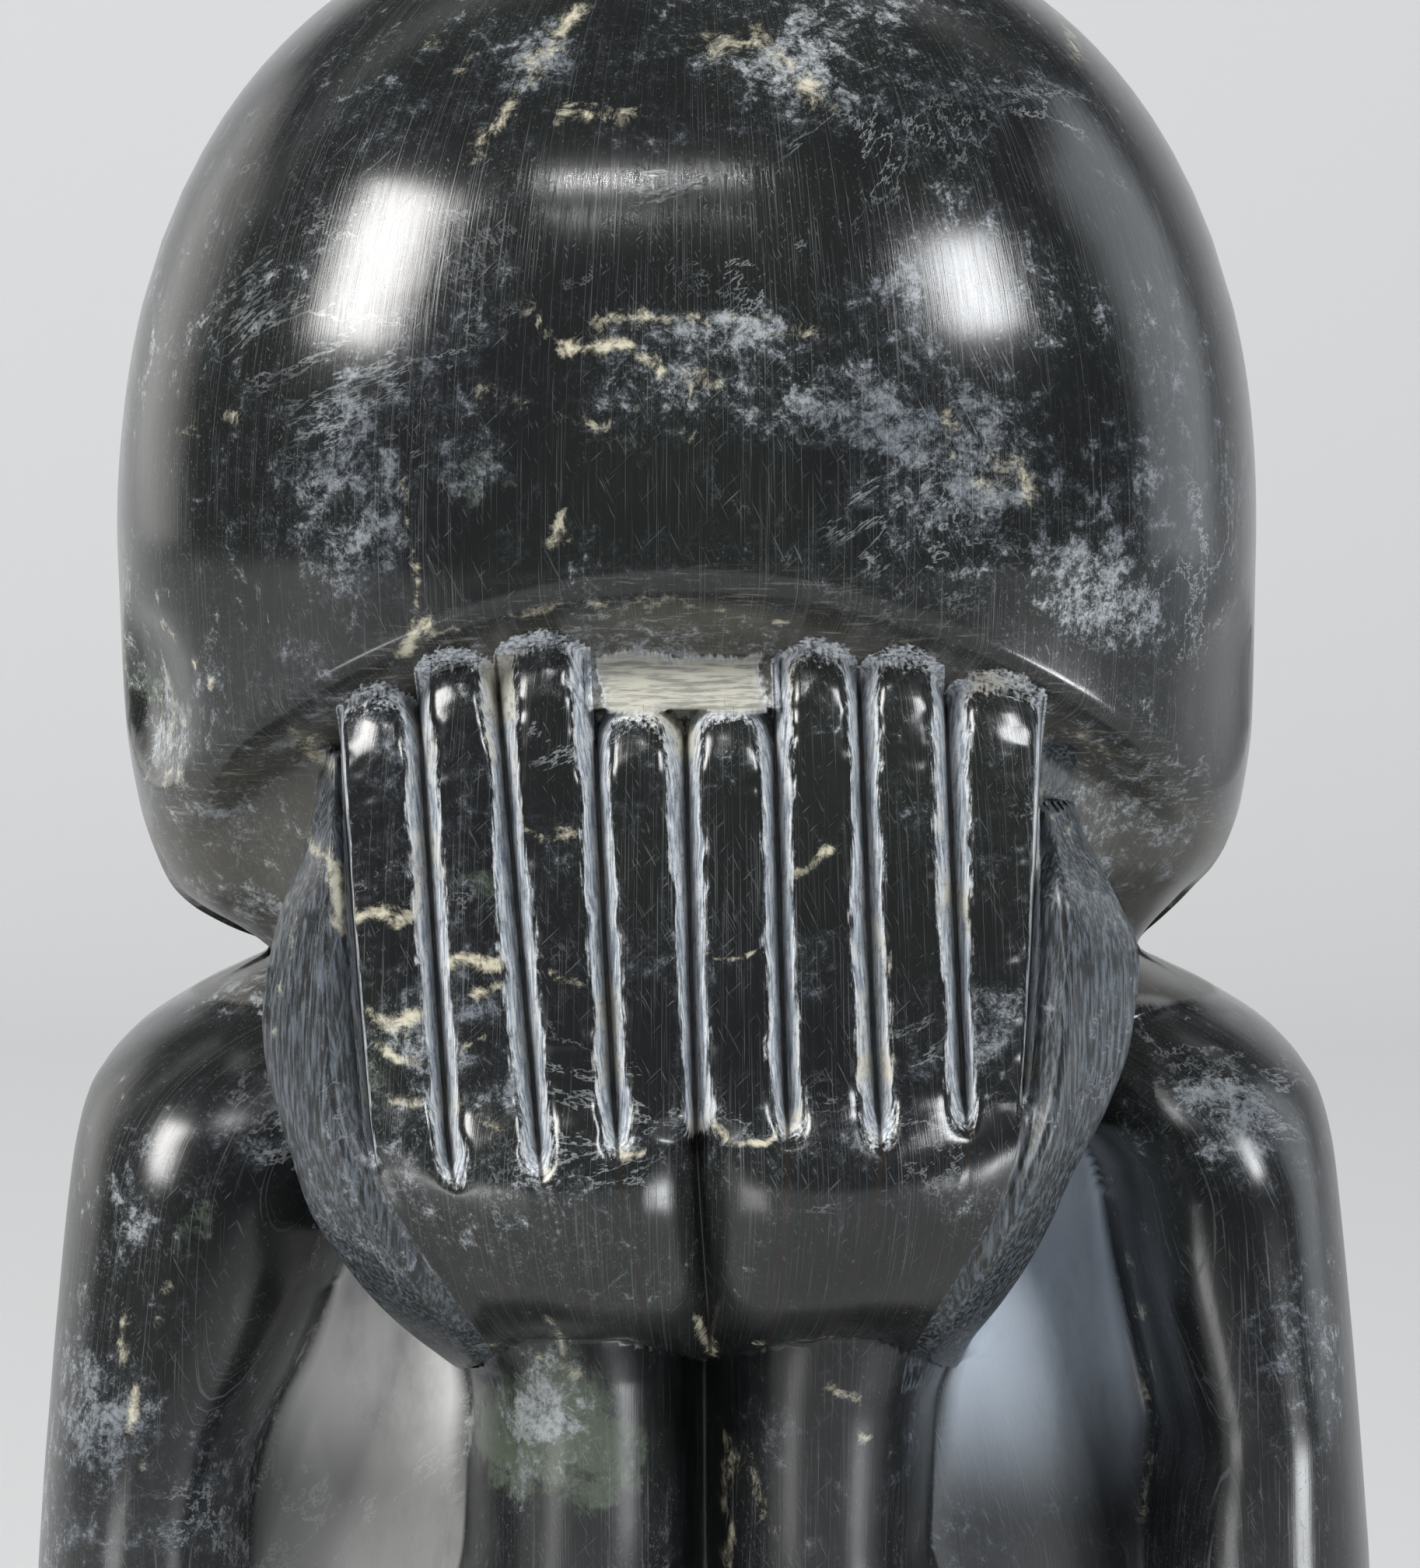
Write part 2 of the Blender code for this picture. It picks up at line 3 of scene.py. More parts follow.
import bpy
import numpy as np
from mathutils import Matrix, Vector


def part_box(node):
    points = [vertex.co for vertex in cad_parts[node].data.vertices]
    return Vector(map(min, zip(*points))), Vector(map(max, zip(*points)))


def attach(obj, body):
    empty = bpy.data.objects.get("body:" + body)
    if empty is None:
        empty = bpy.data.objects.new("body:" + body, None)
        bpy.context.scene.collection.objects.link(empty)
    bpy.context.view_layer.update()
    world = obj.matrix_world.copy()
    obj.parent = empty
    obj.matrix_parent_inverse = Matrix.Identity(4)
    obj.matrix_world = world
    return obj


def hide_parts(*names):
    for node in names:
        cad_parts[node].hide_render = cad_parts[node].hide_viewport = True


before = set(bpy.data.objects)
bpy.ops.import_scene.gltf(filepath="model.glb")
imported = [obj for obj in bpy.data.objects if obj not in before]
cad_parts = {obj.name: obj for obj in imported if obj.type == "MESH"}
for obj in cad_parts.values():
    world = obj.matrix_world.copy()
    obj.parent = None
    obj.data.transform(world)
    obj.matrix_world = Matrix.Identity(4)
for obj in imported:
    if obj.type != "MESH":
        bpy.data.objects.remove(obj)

bl_info = {
    "name": "Stone Figure Sculpture",
    "version": (1, 0, 0),
    "blender": (4, 5, 0),
    "location": "View3D > Sidebar > Stone Figure",
    "description": "Carved serpentine bust with its face in both hands, on a pale studio stage",
    "category": "Add Mesh",
}

# Sizes are drawn in millimetres at the stone's own size and fitted to the solid's box at the end.
NODE = "stone_figure"
# Heights where the forms begin and end.
HEAD_FOOT = 104.0
NECK_TOP = 130.0
ARM_TOP = 112.0
FOREARM_TOP = 88.0

# Bevel round the foot, and how square the level cuts of the forms are.
FOOT_BEVEL = 1.2
TORSO_CORNER = 2.8
CHEST_CORNER = 2.0
LIMB_CORNER = 2.3

# Widths of the soft joins between forms.
JOIN_CHEST = 2.0
JOIN_HEAD = 1.5
JOIN_ARM = 1.2
JOIN_FOREARM = 1.2
JOIN_FOREARMS = 3.0
JOIN_HAND = 0.8

# Head: a tall rounded block, widest at the brow.
HEAD_X = -1.5
HEAD_Z = 151.6
HEAD_RISE = 62.0
HEAD_ROUND = 2.3
HEAD_CORNER = 2.6
HEAD_LOW_RIGHT = ((104, 29), (109, 37), (112.3, 43.2), (113.9, 44.8), (116.5, 47.2), (118.5, 48.9),
                  (120.6, 50.8), (122.7, 52.0), (126.6, 53.3), (135, 54.4), (151.6, 54.7))
HEAD_LOW_LEFT = ((104, 29), (109, 35), (112.3, 40.7), (114.6, 44.8), (116.9, 48.2), (118.8, 50.0),
                 (121, 51.1), (126.6, 52.9), (135, 54.2), (151.6, 54.9))
HEAD_LOW_FRONT = ((104, 30), (111, 42), (117, 47), (125, 51), (137, 54.5), (151.6, 56.0))
HEAD_LOW_BACK = ((104, 20), (110, 30), (116, 40), (124, 47), (137, 51), (151.6, 52.0))

# Brow: the edge arches over the hands and the face is cut back under it.
BROW_Z = 150.5
BROW_FALL = 0.0085
BROW_CUT = 8.5
BROW_BAND = 9.0
BROW_HALF = 52.0
BROW_FADE = 14.0
CHEEK_LOW = 108.0
CHEEK_FADE = 8.0
EAR_Y = -28.0
EAR_LONG = 11.0
EAR_Z = 138.0
EAR_TALL = 9.0
EAR_DEEP = (4.5, 2.25)
EAR_FROM = 44.0

# Neck, shoulders, back and the block below the elbows.
TORSO_HALF = ((0, 60.2), (10, 62), (30, 63.8), (51, 64.1), (60, 63.6), (70, 62.8), (80, 61.9), (90, 60.9),
              (94.6, 60.3), (99.2, 59.1), (103.8, 55.4), (108.3, 48.7), (110.4, 44.2), (111.4, 42.2),
              (114, 41), (120, 39), (130, 34))
TORSO_FRONT = ((0, 36), (10, 34.5), (20, 26), (32, 16), (45, 12), (90, 12), (98, 18), (104, 25), (108, 31),
               (112, 35), (120, 38), (130, 36))
TORSO_BACK = ((0, 31), (20, 34), (50, 36), (80, 36.5), (93, 34.5), (102, 30), (108, 26.5), (112, 26),
              (120, 31), (130, 34))

# Chest: a barrel between the arms that leans back towards the neck.
CHEST_HALF = 50.0
CHEST_INSET = 4.0
CHEST_FRONT = ((0, 34), (14, 34), (24, 31.5), (40, 29.5), (57, 27), (75, 22.5), (88, 18.5), (96, 20),
               (104, 27), (112, 34))
CHEST_BACK = 10.0

# Upper arms: inner edge, front.
ARM_INNER_RIGHT = ((0, 47), (30, 44), (45, 42), (54.5, 42), (61, 42.3), (67.3, 43), (71, 42.3), (76, 41.1),
                   (81.6, 39.8), (85.7, 39), (91.9, 37.8), (98, 33), (108, 26))
ARM_INNER_LEFT = ((0, 47), (30, 45), (45, 43.6), (57.7, 43.4), (61.9, 42.9), (65.5, 42.1), (70.1, 40.4),
                  (73, 38.8), (77.6, 36.7), (82.9, 34.7), (90, 32), (98, 29), (108, 25))
ARM_FRONT = ((0, 24), (12, 30), (30, 35), (60, 35), (80, 34.5), (90, 34), (96, 32.5), (101, 29.5),
             (105, 25.5), (108.5, 20), (112, 12))
ARM_BACK = 12.0

# Outer edge of the thumb above and of the forearm below, then the forearm's front.
EDGE_RIGHT = ((0, 46), (10, 47.5), (20, 47), (28, 43), (34, 38), (40, 32.2), (45, 27.9), (50, 24.6),
              (54, 22.7), (57.4, 21.8), (65.4, 22.1), (70.9, 22.5), (74.2, 23.5), (77.9, 24.8),
              (82.7, 27.8), (86.2, 29.9), (90.1, 31.9), (94.9, 34), (98, 35.7), (101.5, 37.4),
              (106.4, 39.2), (110.5, 39.8), (113.9, 40.1), (116.3, 39.8), (119.4, 38.4), (122.6, 36.6),
              (126, 34.9), (129, 34), (145, 35.5), (151.6, 36))
EDGE_LEFT = ((0, -46), (10, -47.5), (20, -47), (28, -43), (34, -38), (40, -32.8), (45, -28.8), (50, -25.5),
             (54, -23.7), (57.4, -23), (65.8, -22.6), (70.5, -22.3), (74.2, -22.8), (75.8, -24.1),
             (78.8, -27.1), (83, -30.8), (87.6, -34), (91.3, -36.2), (97.8, -38.3), (105.1, -40.3),
             (108.7, -40.6), (113, -40.2), (118.8, -39), (123.8, -36.9), (133.5, -35.2), (145, -36.8),
             (151.6, -37.5))
FOREARM_INNER = ((0, 30), (6, 26.5), (12, 23.8), (20, 19.6), (27, 15.2), (33, 11.2), (39, 7.4), (44, 4.4),
                 (49, 1.6), (54, 0.3), (60, 0), (90, 0))
FOREARM_FRONT = ((3, 24), (8, 32), (14, 36.5), (22, 38.5), (32, 39.6), (42, 40.8), (52, 42), (60, 42.6),
                 (70, 43), (78, 43.5), (90, 44))
FOREARM_BACK = 14.0
WRIST_DRIFT = 0.6
WRIST_OVERLAP = 0.4

# Finger grooves from left to right, as x at the heights in the first row.
GROOVE_Z = (0, 12, 20, 30, 40, 48, 57, 73, 98, 103, 145)
GROOVE_X = ((-42, -43, -42, -36.5, -27.5, -21.2, -18.5, -18.6, -30.3, -30.9, -34.2),
            (-38, -37, -35, -28.5, -20.5, -15.8, -14.2, -14.2, -23.3, -23.7, -26.6),
            (-34, -31, -28, -21.2, -14.0, -10.6, -9.8, -9.6, -15.0, -15.5, -19.3),
            (-30, -24.6, -20.4, -14.0, -7.8, -5.4, -4.7, -4.5, -7.8, -8.2, -10.4),
            (0, 0, 0, 0, 0.2, 0.4, 0.5, 0.7, -0.6, -0.8, -1.9),
            (30, 24.6, 20.4, 14.0, 7.8, 5.8, 5.6, 5.6, 7.7, 7.5, 6.2),
            (34, 31, 28, 21.2, 14.0, 10.8, 10.3, 10.3, 16.1, 15.8, 14.0),
            (38, 37, 35, 28.5, 20.5, 15.9, 14.4, 14.6, 24.1, 23.8, 21.9),
            (42, 43, 42, 36.5, 27.5, 21.0, 18.2, 18.4, 28.6, 29.3, 31.6))
GROOVE_DEEP = 3.4
GROOVE_SHARE = 0.58
OUTER_SHARE = 0.86
WANDER = (0.10, 0.07)
OUTER_WANDER = 0.3
WALL_CURVE = 1.1
CUT_LEAD = 1.5
CUT_RUN = 4.0
FINGER_CROWN = 0.5
TIP_LENGTH = 6.5
TIP_FALL = 3.6
TIP_DROP = 2.4
TIP_CURVE = 2.2
GROOVE_END = (97.0, 95.5, 96.5, 98.5, 99.5, 99.5, 99.0, 100.3, 101.5)
FINGER_TIP = (139.6, 143.3, 144.8, 138.1, 138.5, 143.9, 143.3, 141.0)
HAND_FRONT = ((72, 42), (75, 43.5), (78, 46.5), (81, 50), (84.5, 53), (88.5, 55.2), (93, 56.6), (98, 57),
              (104, 56.2), (115, 55.3), (131, 53.6), (145, 50.5))
HAND_BEND = 0.0042
HAND_LOW = ((-28, 73.5), (-23, 74.5), (-19, 77.5), (-15, 79.3), (-8, 79.2), (-3, 77.4), (0, 76.2),
            (3, 77.2), (8, 78.8), (15, 79.2), (19, 77.6), (23, 74.8), (28, 73.5))
PALM_LIP = (1.9, 2.1)
CREASE_DEEP = 4.2
CREASE_WIDE = 2.4
CREASE_TOP = 101.5
CREASE_FADE = 3.0
HEEL_LENGTH = 7.0
HEEL_FALL = 4.0
LEDGE_LOW = 137.6
LEDGE_HIGH = 142.6
LEDGE_DEPTH = 47.4
LEDGE_SLOPE = 0.62
LEDGE_REACH = 0.5
LEDGE_LIP = 1.0
PALM_SWELL = 2.4
SWELL_HIGH = (104.0, 10.0)
SWELL_LOW = (73.0, 9.0)
THUMB_TIP = (133.3, 128.2)
THUMB_RIDGE = 0.32
THUMB_FALL = 6.5
THUMB_CURVE = 1.3
THUMB_DIP = 2.6
THUMB_BLEND = ((0.35, 78.0), (0.65, 94.0))
BLEND_RUN = 10.0
THUMB_DROP = 5.0
DROP_RUN = 9.0
EDGE_SLACK = 0.05

# Depths of the tool marks: chips on the finger edges, cracks in the grooves, the fan on the heels, the file
# marks on the thumbs, the pick marks on the ledge, and slow and fast unevenness, which fades at the foot
# and the crown over these heights.
CHIP_DEEP = 0.22
CRACK_DEEP = 0.5
CRACK_HALF = 0.45
FAN_DEEP = 0.05
FILE_DEEP = 0.12
PICK_DEEP = 0.18
UNEVEN_DEEP = (0.10, 0.035)
CALM_FOOT = (2.0, 6.0)
CALM_CROWN = (208.0, 20.0)

# Half length of the inner line that the points are found from.
LINE_HALF = ((0, 50), (60, 51), (92, 50), (100, 47.5), (106, 43.2), (109, 41.6), (111.4, 41.0), (113, 41.0),
             (117, 42.0), (125, 42.6), (151.6, 42.6))
ROW_SAG = ((0, 0), (113, 0), (120, 1.5), (138, 9.5), (145, 12), (151, 12), (170, 6), (190, 1), (196, 0),
           (220, 0))
SAG_HALF = 38.0
SAG_MOST = 1.3
SHIFT_LOW = 111.0
SHIFT_RUN = 12.0
ARM_SHARE = 0.4
ARM_STOPS = (92.0, 84.0)
ARM_RUN = 4.0

# Search outwards: the farthest point in millimetres, the halvings after it, a reach no form has, and the
# distance to a groove that stands for none.
FARTHEST = 76
HALVINGS = 14
ABSENT = 400.0
OFF_HAND = 30.0

# Grid: columns between the named lines, crowded towards the grooves, and the rows.
COUNT_FINGER = 18
COUNT_THUMB = 12
COUNT_OUTER = 10
COUNT_SIDE = 33
COUNT_BACK = 24
CROWD = 0.6
SIDE_ANGLES = (0, 6, 13, 21, 31, 45, 66, 90, 114, 135, 152, 167, 180)
SIDE_SHARES = np.linspace(0.0, 1.0, len(SIDE_ANGLES))
FINE_LOW = 70.0
FINE_HIGH = 152.0
ROW_WIDE = 1.2
CROWN_LOW = 178.0
CROWN_END = 0.03
CROWN_ROWS = 30

# How dull each zone is beside the polished fronts. The hands' marks reach this far past their edges and
# this far behind their front, and the thumbs' reach from foot to head.
HAND_DULL = 0.12
HEEL_DULL = 0.12
THUMB_DULL = 0.6
UNDER_DULL = 0.45
CHEST_DULL = 0.75
FORE_DULL = 0.35
MARK_EDGE = 0.3
HAND_BEHIND = -6.5
THUMB_FOOT = 73.5
THUMB_HEAD = 134.0
# Chest, left and right: painted sheen that brightens the chest towards the top. The share of its paleness
# below, where it begins to rise, and over what height.
CHEST_SHEEN_RISE = ((0.32, 61.0, 12.0), (0.03, 58.0, 18.0))
CHEST_TOP = (100.0, 8.0)

# Marks on the front, listed one by one. A stroke is its width, its strength and its places as x and z;
# a blob is its middle x and z, its half width and half height, its lean in degrees and its strength.
CREAM_STROKES = (
    (1.6, 0.75, (-11, 202.5), (-14.5, 198), (-17, 194), (-21.5, 187)),
    (1.0, 0.6, (-29, 200.5), (-21.5, 197)), (0.8, 0.6, (-14, 191.5), (-5.5, 193)),
    (0.8, 0.8, (-43.5, 188.5), (-45.5, 186)), (0.8, 0.7, (-16, 174), (-14, 172), (-11.5, 171)),
    (1.0, 0.95, (-12.5, 171), (-7.5, 171), (-5, 169.5), (-2, 168.5), (1.5, 167.5)),
    (0.5, 0.6, (-1, 169), (-1, 162.5)), (1.2, 0.6, (-20.5, 167), (-14.5, 164.5), (-8.5, 163.5)),
    (1.4, 0.85, (-12.5, 156), (-13.5, 153.5)), (0.8, 0.8, (-50, 162), (-44, 164)),
    (1.3, 1.0, (-43.5, 164.5), (-43, 164.5)),
    (0.8, 0.6, (-27.5, 159.5), (-27, 153.5), (-26, 151), (-26.5, 145.5)),
    (1.6, 0.85, (-25, 146), (-27, 143)), (2.2, 0.75, (26.5, 158.5), (28.5, 160.5), (29.5, 157)),
    (1.0, 0.6, (21, 165.5), (23.5, 162.5), (28, 159.5)), (1.0, 0.6, (21.5, 162.5), (27, 156)),
    (1.5, 0.6, (-12, 173), (-1.5, 174), (3.5, 173), (11, 172)), (0.9, 0.6, (34.5, 179.5), (37.5, 178)),
    (1.2, 0.6, (33, 202.5), (35.5, 197)), (2.2, 0.75, (0, 198), (4.5, 199), (9.5, 194.5), (11.5, 193)),
    (1.0, 0.7, (-50, 144.5), (-47, 141), (-44.5, 137.5)), (3.6, 0.5, (-50.5, 138.5), (-49.5, 130.5)),
    (2.2, 0.75, (-38, 135), (-34.5, 132)), (1.6, 0.6, (34.5, 135), (36.5, 133)),
    (1.0, 0.6, (-5.5, 148.5), (-1.5, 147.5)),
    (0.7, 0.6, (-25.5, 145), (-14, 147.5), (0, 147.5), (7.5, 146)),
    (3.0, 1.0, (-8.5, 139.5), (4.5, 139.5)), (2.0, 1.0, (-7.5, 138), (0, 138)),
    (1.5, 0.9, (-32, 119), (-27, 119)), (1.5, 0.9, (-30.5, 110), (-27, 109.5), (-24, 111)),
    (1.3, 0.8, (-29, 107), (-25.5, 105.5)), (1.2, 0.7, (-28.5, 102.5), (-24, 101.5), (-21, 101.5)),
    (1.5, 0.9, (-24, 115), (-18.5, 115)), (1.2, 0.8, (-21, 112), (-18.5, 112.5)),
    (0.8, 0.7, (-22, 107.5), (-20, 108.5)), (1.0, 0.7, (-21, 101.5), (-18.5, 100)),
    (1.0, 0.7, (-14, 114), (-11, 113)), (1.4, 0.9, (-17.5, 116), (-15, 115)),
    (1.6, 0.6, (-16.5, 127), (-12.5, 126.5)),
    (0.5, 1.0, (-0.5, 116.5), (1, 115.5), (3.5, 115.5), (5, 116.5)),
    (0.7, 0.9, (0.5, 100.5), (3, 98.5), (6.5, 99.5), (8, 101)),
    (0.8, 0.9, (7.5, 122), (8.5, 123.5), (11.5, 125)), (0.8, 1.0, (-23.5, 98), (-23, 96)),
    (0.9, 1.0, (-15, 99), (-14.5, 95.5)), (0.8, 0.9, (-9, 100), (-7.5, 97.5), (-5.5, 98)),
    (1.6, 0.95, (-35.5, 125.5), (-33.5, 123), (-33, 118)),
    (0.6, 0.6, (-37, 120.5), (-38.5, 113.5), (-40, 107.5)),
    (0.6, 0.6, (32.5, 127.5), (35, 123.5), (39, 116.5)), (0.8, 0.7, (31, 130.5), (32, 126.5)),
    (0.9, 0.85, (-0.5, 81.5), (1, 76)), (0.7, 0.7, (-29, 79), (-25, 73), (-22, 70.5)),
    (1.2, 0.6, (-21.5, 79), (-11.5, 76)), (0.9, 0.7, (-14, 82), (-12, 75.5)),
    (0.6, 0.6, (4.5, 79), (14.5, 79.5)), (1.2, 0.7, (1.5, 70.5), (2.5, 67.5), (2, 56)),
    (1.6, 0.55, (4, 67), (6.5, 60.5)), (1.2, 0.9, (11.5, 74), (14.5, 73)),
    (0.9, 0.9, (14.5, 69.5), (15.5, 69)), (0.8, 0.8, (-55, 82), (-54, 74), (-52.5, 66.5)),
    (0.8, 0.6, (-51, 85.5), (-50, 80)),
    (0.5, 0.65, (38, 91.5), (40.5, 82), (42.5, 73.5), (43, 65.5), (42.5, 57)),
    (0.6, 0.65, (-36, 79), (-39.5, 70), (-42.5, 61), (-41.5, 54.5)),
)
HAZE_BLOBS = (
    (4.5, 197, 8, 3, 0, 0.8), (-14.5, 198, 3.5, 6.5, -30, 0.8), (31.5, 175.5, 5.5, 8.5, 30, 0.8),
    (25, 159.5, 5.5, 6.5, 0, 0.8), (36, 149, 8, 5.5, -20, 0.9), (-33.5, 162.5, 4.5, 8.5, 0, 0.9),
    (-19.5, 160.5, 4.5, 3, 0, 0.8), (0, 173, 8, 2, 0, 0.7), (-18.5, 165.5, 4.5, 2, -20, 0.6),
    (-32, 156, 8.5, 8.5, 0, 0.75), (18.5, 179, 5.5, 5.5, 0, 0.5), (-47.5, 138, 4.5, 7.5, 10, 0.5),
    (-18.5, 104, 3.5, 4.5, 0, 0.7), (-27, 107.5, 4.5, 5, 0, 0.8), (26, 109.5, 3, 4.5, 0, 0.7),
    (25, 92, 4.5, 4.5, 0, 0.6), (-14.5, 75, 6, 4.5, 0, 0.7), (-55.5, 71, 5, 6, 0, 0.8),
    (-55, 92.5, 4.5, 7.5, 0, 0.5), (48.5, 96.5, 4.5, 8, 20, 0.7), (5.5, 69.5, 3.5, 6.5, 0, 0.6),
    (18.5, 127.5, 4.5, 8.5, 0, 0.45), (-24, 113, 6.5, 3.5, 0, 0.7), (14.5, 162.5, 8.5, 8.5, 0, 0.4),
)
GREEN_BLOBS = (
    (-19.5, 160, 4.5, 2.5, 0, 0.45), (-4, 165, 4.5, 4.5, 0, 0.35), (-21, 122, 3, 3.5, 0, 0.6),
    (-28.5, 104.5, 3, 4.5, 0, 0.6), (-14.5, 69.5, 10.5, 9, 0, 1.1), (-7, 70.5, 2, 3, 0, 0.8),
    (-9.5, 65.5, 3.5, 2, 20, 0.8), (-53.5, 142.5, 1.5, 12.5, 0, 0.9), (-46.5, 90, 2.5, 3.5, 0, 0.6),
)
DARK_BLOBS = (
    (2.5, 123.5, 3, 8, 3, 1.0), (3.5, 108, 3, 7.5, 3, 1.0), (10.5, 120.5, 2.5, 3, 0, 1.0),
    (-14, 108, 2.5, 8, 0, 0.8), (-5, 107, 2.5, 7, 0, 0.8), (-14, 134.5, 3.5, 6.5, 0, 0.8),
    (-30, 116, 2.5, 2, 0, 1.0), (-1, 181, 18, 8, 0, 1.0), (11, 184.5, 10.5, 6.5, 0, 0.9),
    (-42, 85.5, 4.5, 9, 0, 0.9), (48, 82, 3.5, 6.5, 0, 0.7), (11.5, 106.5, 2.5, 5.5, 0, 0.8),
    (-7, 157, 5.5, 3, 0, 0.6), (-14, 162.5, 2, 2, 0, 0.7), (7.5, 158.5, 6.5, 3.5, 0, 0.5),
    (-48.5, 143.5, 2, 6, -8, 1.0),
)

# Stone, wall and studio colours, linear.
DARK_STONE = (0.0085, 0.0092, 0.0100, 1.0)
GREEN_BLACK = (0.0125, 0.0145, 0.0130, 1.0)
SMOKE = (0.044, 0.050, 0.057, 1.0)
BLUE_HAZE = (0.125, 0.142, 0.163, 1.0)
PALE_CRYSTAL = (0.39, 0.415, 0.43, 1.0)
CREAM = (0.60, 0.56, 0.43, 1.0)
OLIVE = (0.078, 0.098, 0.070, 1.0)
CHEEK_BROWN = (0.20, 0.185, 0.15, 1.0)
# Chest: pale unpolished ground with painted sheen, grey on the left and blue on the right as painted
# reflections of the surroundings on each side.
CHEST_GROUND_AND_SHEEN_LEFT = (0.90, 0.90, 0.89, 1.0)
CHEST_GROUND_AND_SHEEN_RIGHT = (0.52, 0.59, 0.68, 1.0)
WALL_BLUE = (0.20, 0.24, 0.29, 1.0)
WALL_PALE = (0.62, 0.64, 0.66, 1.0)
WALL_CREAM = (0.56, 0.54, 0.47, 1.0)
LEDGE_CREAM = (0.42, 0.41, 0.35, 1.0)
LEDGE_SHADE = (0.20, 0.20, 0.18, 1.0)
# Painted shade along the bottom of each finger groove.
GROOVE_SHADE_BROWN = (0.018, 0.014, 0.011, 1.0)
PAPER = (0.56, 0.565, 0.57, 1.0)
AIR = (0.06, 0.063, 0.066, 1.0)

# Radius in metres of the cylinder that the polishing scratches are laid out on.
SPUN_RADIUS = 0.05

# Studio sweep, in metres.
SWEEP_WIDE = 5.0
SWEEP_NEAR = -0.6
SWEEP_FAR = 1.0
SWEEP_BEND = 0.6
SWEEP_TALL = 1.0
SWEEP_STEPS = 24

# Camera and lights: name, size, place, aim, power, colour.
SENSOR = 36.0
VIEW_MIDDLE = (0.0006, 0.0032, 0.1275)
LIGHTS = (
    ("key_left", (0.48, 0.62), (-0.93, -0.62, 0.90), (0.0, 0.0, 0.16), 24.0, (1.0, 0.99, 0.97)),
    ("key_right", (0.38, 0.36), (0.84, -0.80, 0.86), (0.0, 0.0, 0.16), 11.5, (0.96, 0.98, 1.0)),
    ("overhead", (0.016, 0.046), (-0.145, -0.86, 1.27), (0.0, 0.0, 0.16), 1.6, (1.0, 1.0, 1.0)),
    ("overhead_low", (0.035, 0.012), (-0.14, -0.93, 1.08), (0.0, 0.0, 0.16), 0.3, (1.0, 1.0, 1.0)),
    ("low_left", (0.1, 0.03), (-0.17, -0.21, 0.02), (-0.02, -0.03, 0.07), 0.07, (1.0, 0.99, 0.98)),
    ("low_right", (0.15, 0.036), (0.345, -0.22, 0.022), (0.05, -0.03, 0.06), 0.5, (0.95, 0.98, 1.0)),
    ("side_left", (0.9, 1.0), (-1.25, 1.05, 0.55), (0.0, 0.0, 0.15), 2.8, (1.0, 0.98, 0.94)),
    ("side_right", (1.1, 1.6), (1.66, 0.62, 0.75), (0.0, 0.0, 0.15), 10.0, (0.90, 0.95, 1.0)),
    ("backdrop", (2.6, 0.8), (-0.5, 0.62, 1.45), (-0.5, 1.62, 0.85), 18.4, (1.0, 1.0, 1.0)),
)


def along(z, pairs):
    """Value of a size at z, on a smooth curve through the stated pairs that never swings past them."""
    at, value = (np.array(part, float) for part in zip(*pairs))
    gap = np.diff(at)
    slope = np.diff(value) / gap
    level = slope[:-1] * slope[1:] <= 0
    total = np.where(level, 1.0, slope[:-1] + slope[1:])
    bend = np.where(level, 0.0, 2 * slope[:-1] * slope[1:] / total)
    bend = np.concatenate([slope[:1], bend, slope[-1:]])
    z = np.clip(z, at[0], at[-1])
    k = np.clip(np.searchsorted(at, z, side="right") - 1, 0, len(gap) - 1)
    h = gap[k]
    t = (z - at[k]) / h
    start = value[k] * (1 + 2 * t) + h * bend[k] * t
    end = value[k + 1] * (3 - 2 * t) + h * bend[k + 1] * (t - 1)
    return start * (1 - t) ** 2 + end * t ** 2


def soft_least(a, b, k):
    """The lesser of two, rounded over a band of width k where they are near each other."""
    h = np.clip(0.5 + 0.5 * (b - a) / k, 0.0, 1.0)
    return b * (1 - h) + a * h - k * h * (1 - h)


def soft_most(a, b, k):
    """The greater of two, rounded over a band of width k."""
    return -soft_least(-a, -b, k)


def ease(t):
    """A smooth rise from 0 to 1 as t goes from 0 to 1."""
    t = np.clip(t, 0.0, 1.0)
    return t * t * (3 - 2 * t)


def oval(x, y, left, right, front, back, power):
    """Signed reach of a level cut: a rounded box from left to right and from -front to back."""
    cx = 0.5 * (left + right)
    cy = 0.5 * (back - front)
    ax = np.maximum(0.5 * (right - left), 0.5)
    ay = np.maximum(0.5 * (back + front), 0.5)
    rho = ((np.abs(x - cx) / ax) ** power + (np.abs(y - cy) / ay) ** power) ** (1.0 / power)
    return (rho - 1.0) * np.minimum(ax, ay)


def dome(z):
    """Share of the head's full width left at height z above the brow."""
    up = np.clip((z - HEAD_Z) / HEAD_RISE, 0.0, 1.0)
    return (1.0 - up ** HEAD_ROUND) ** (1.0 / HEAD_ROUND)


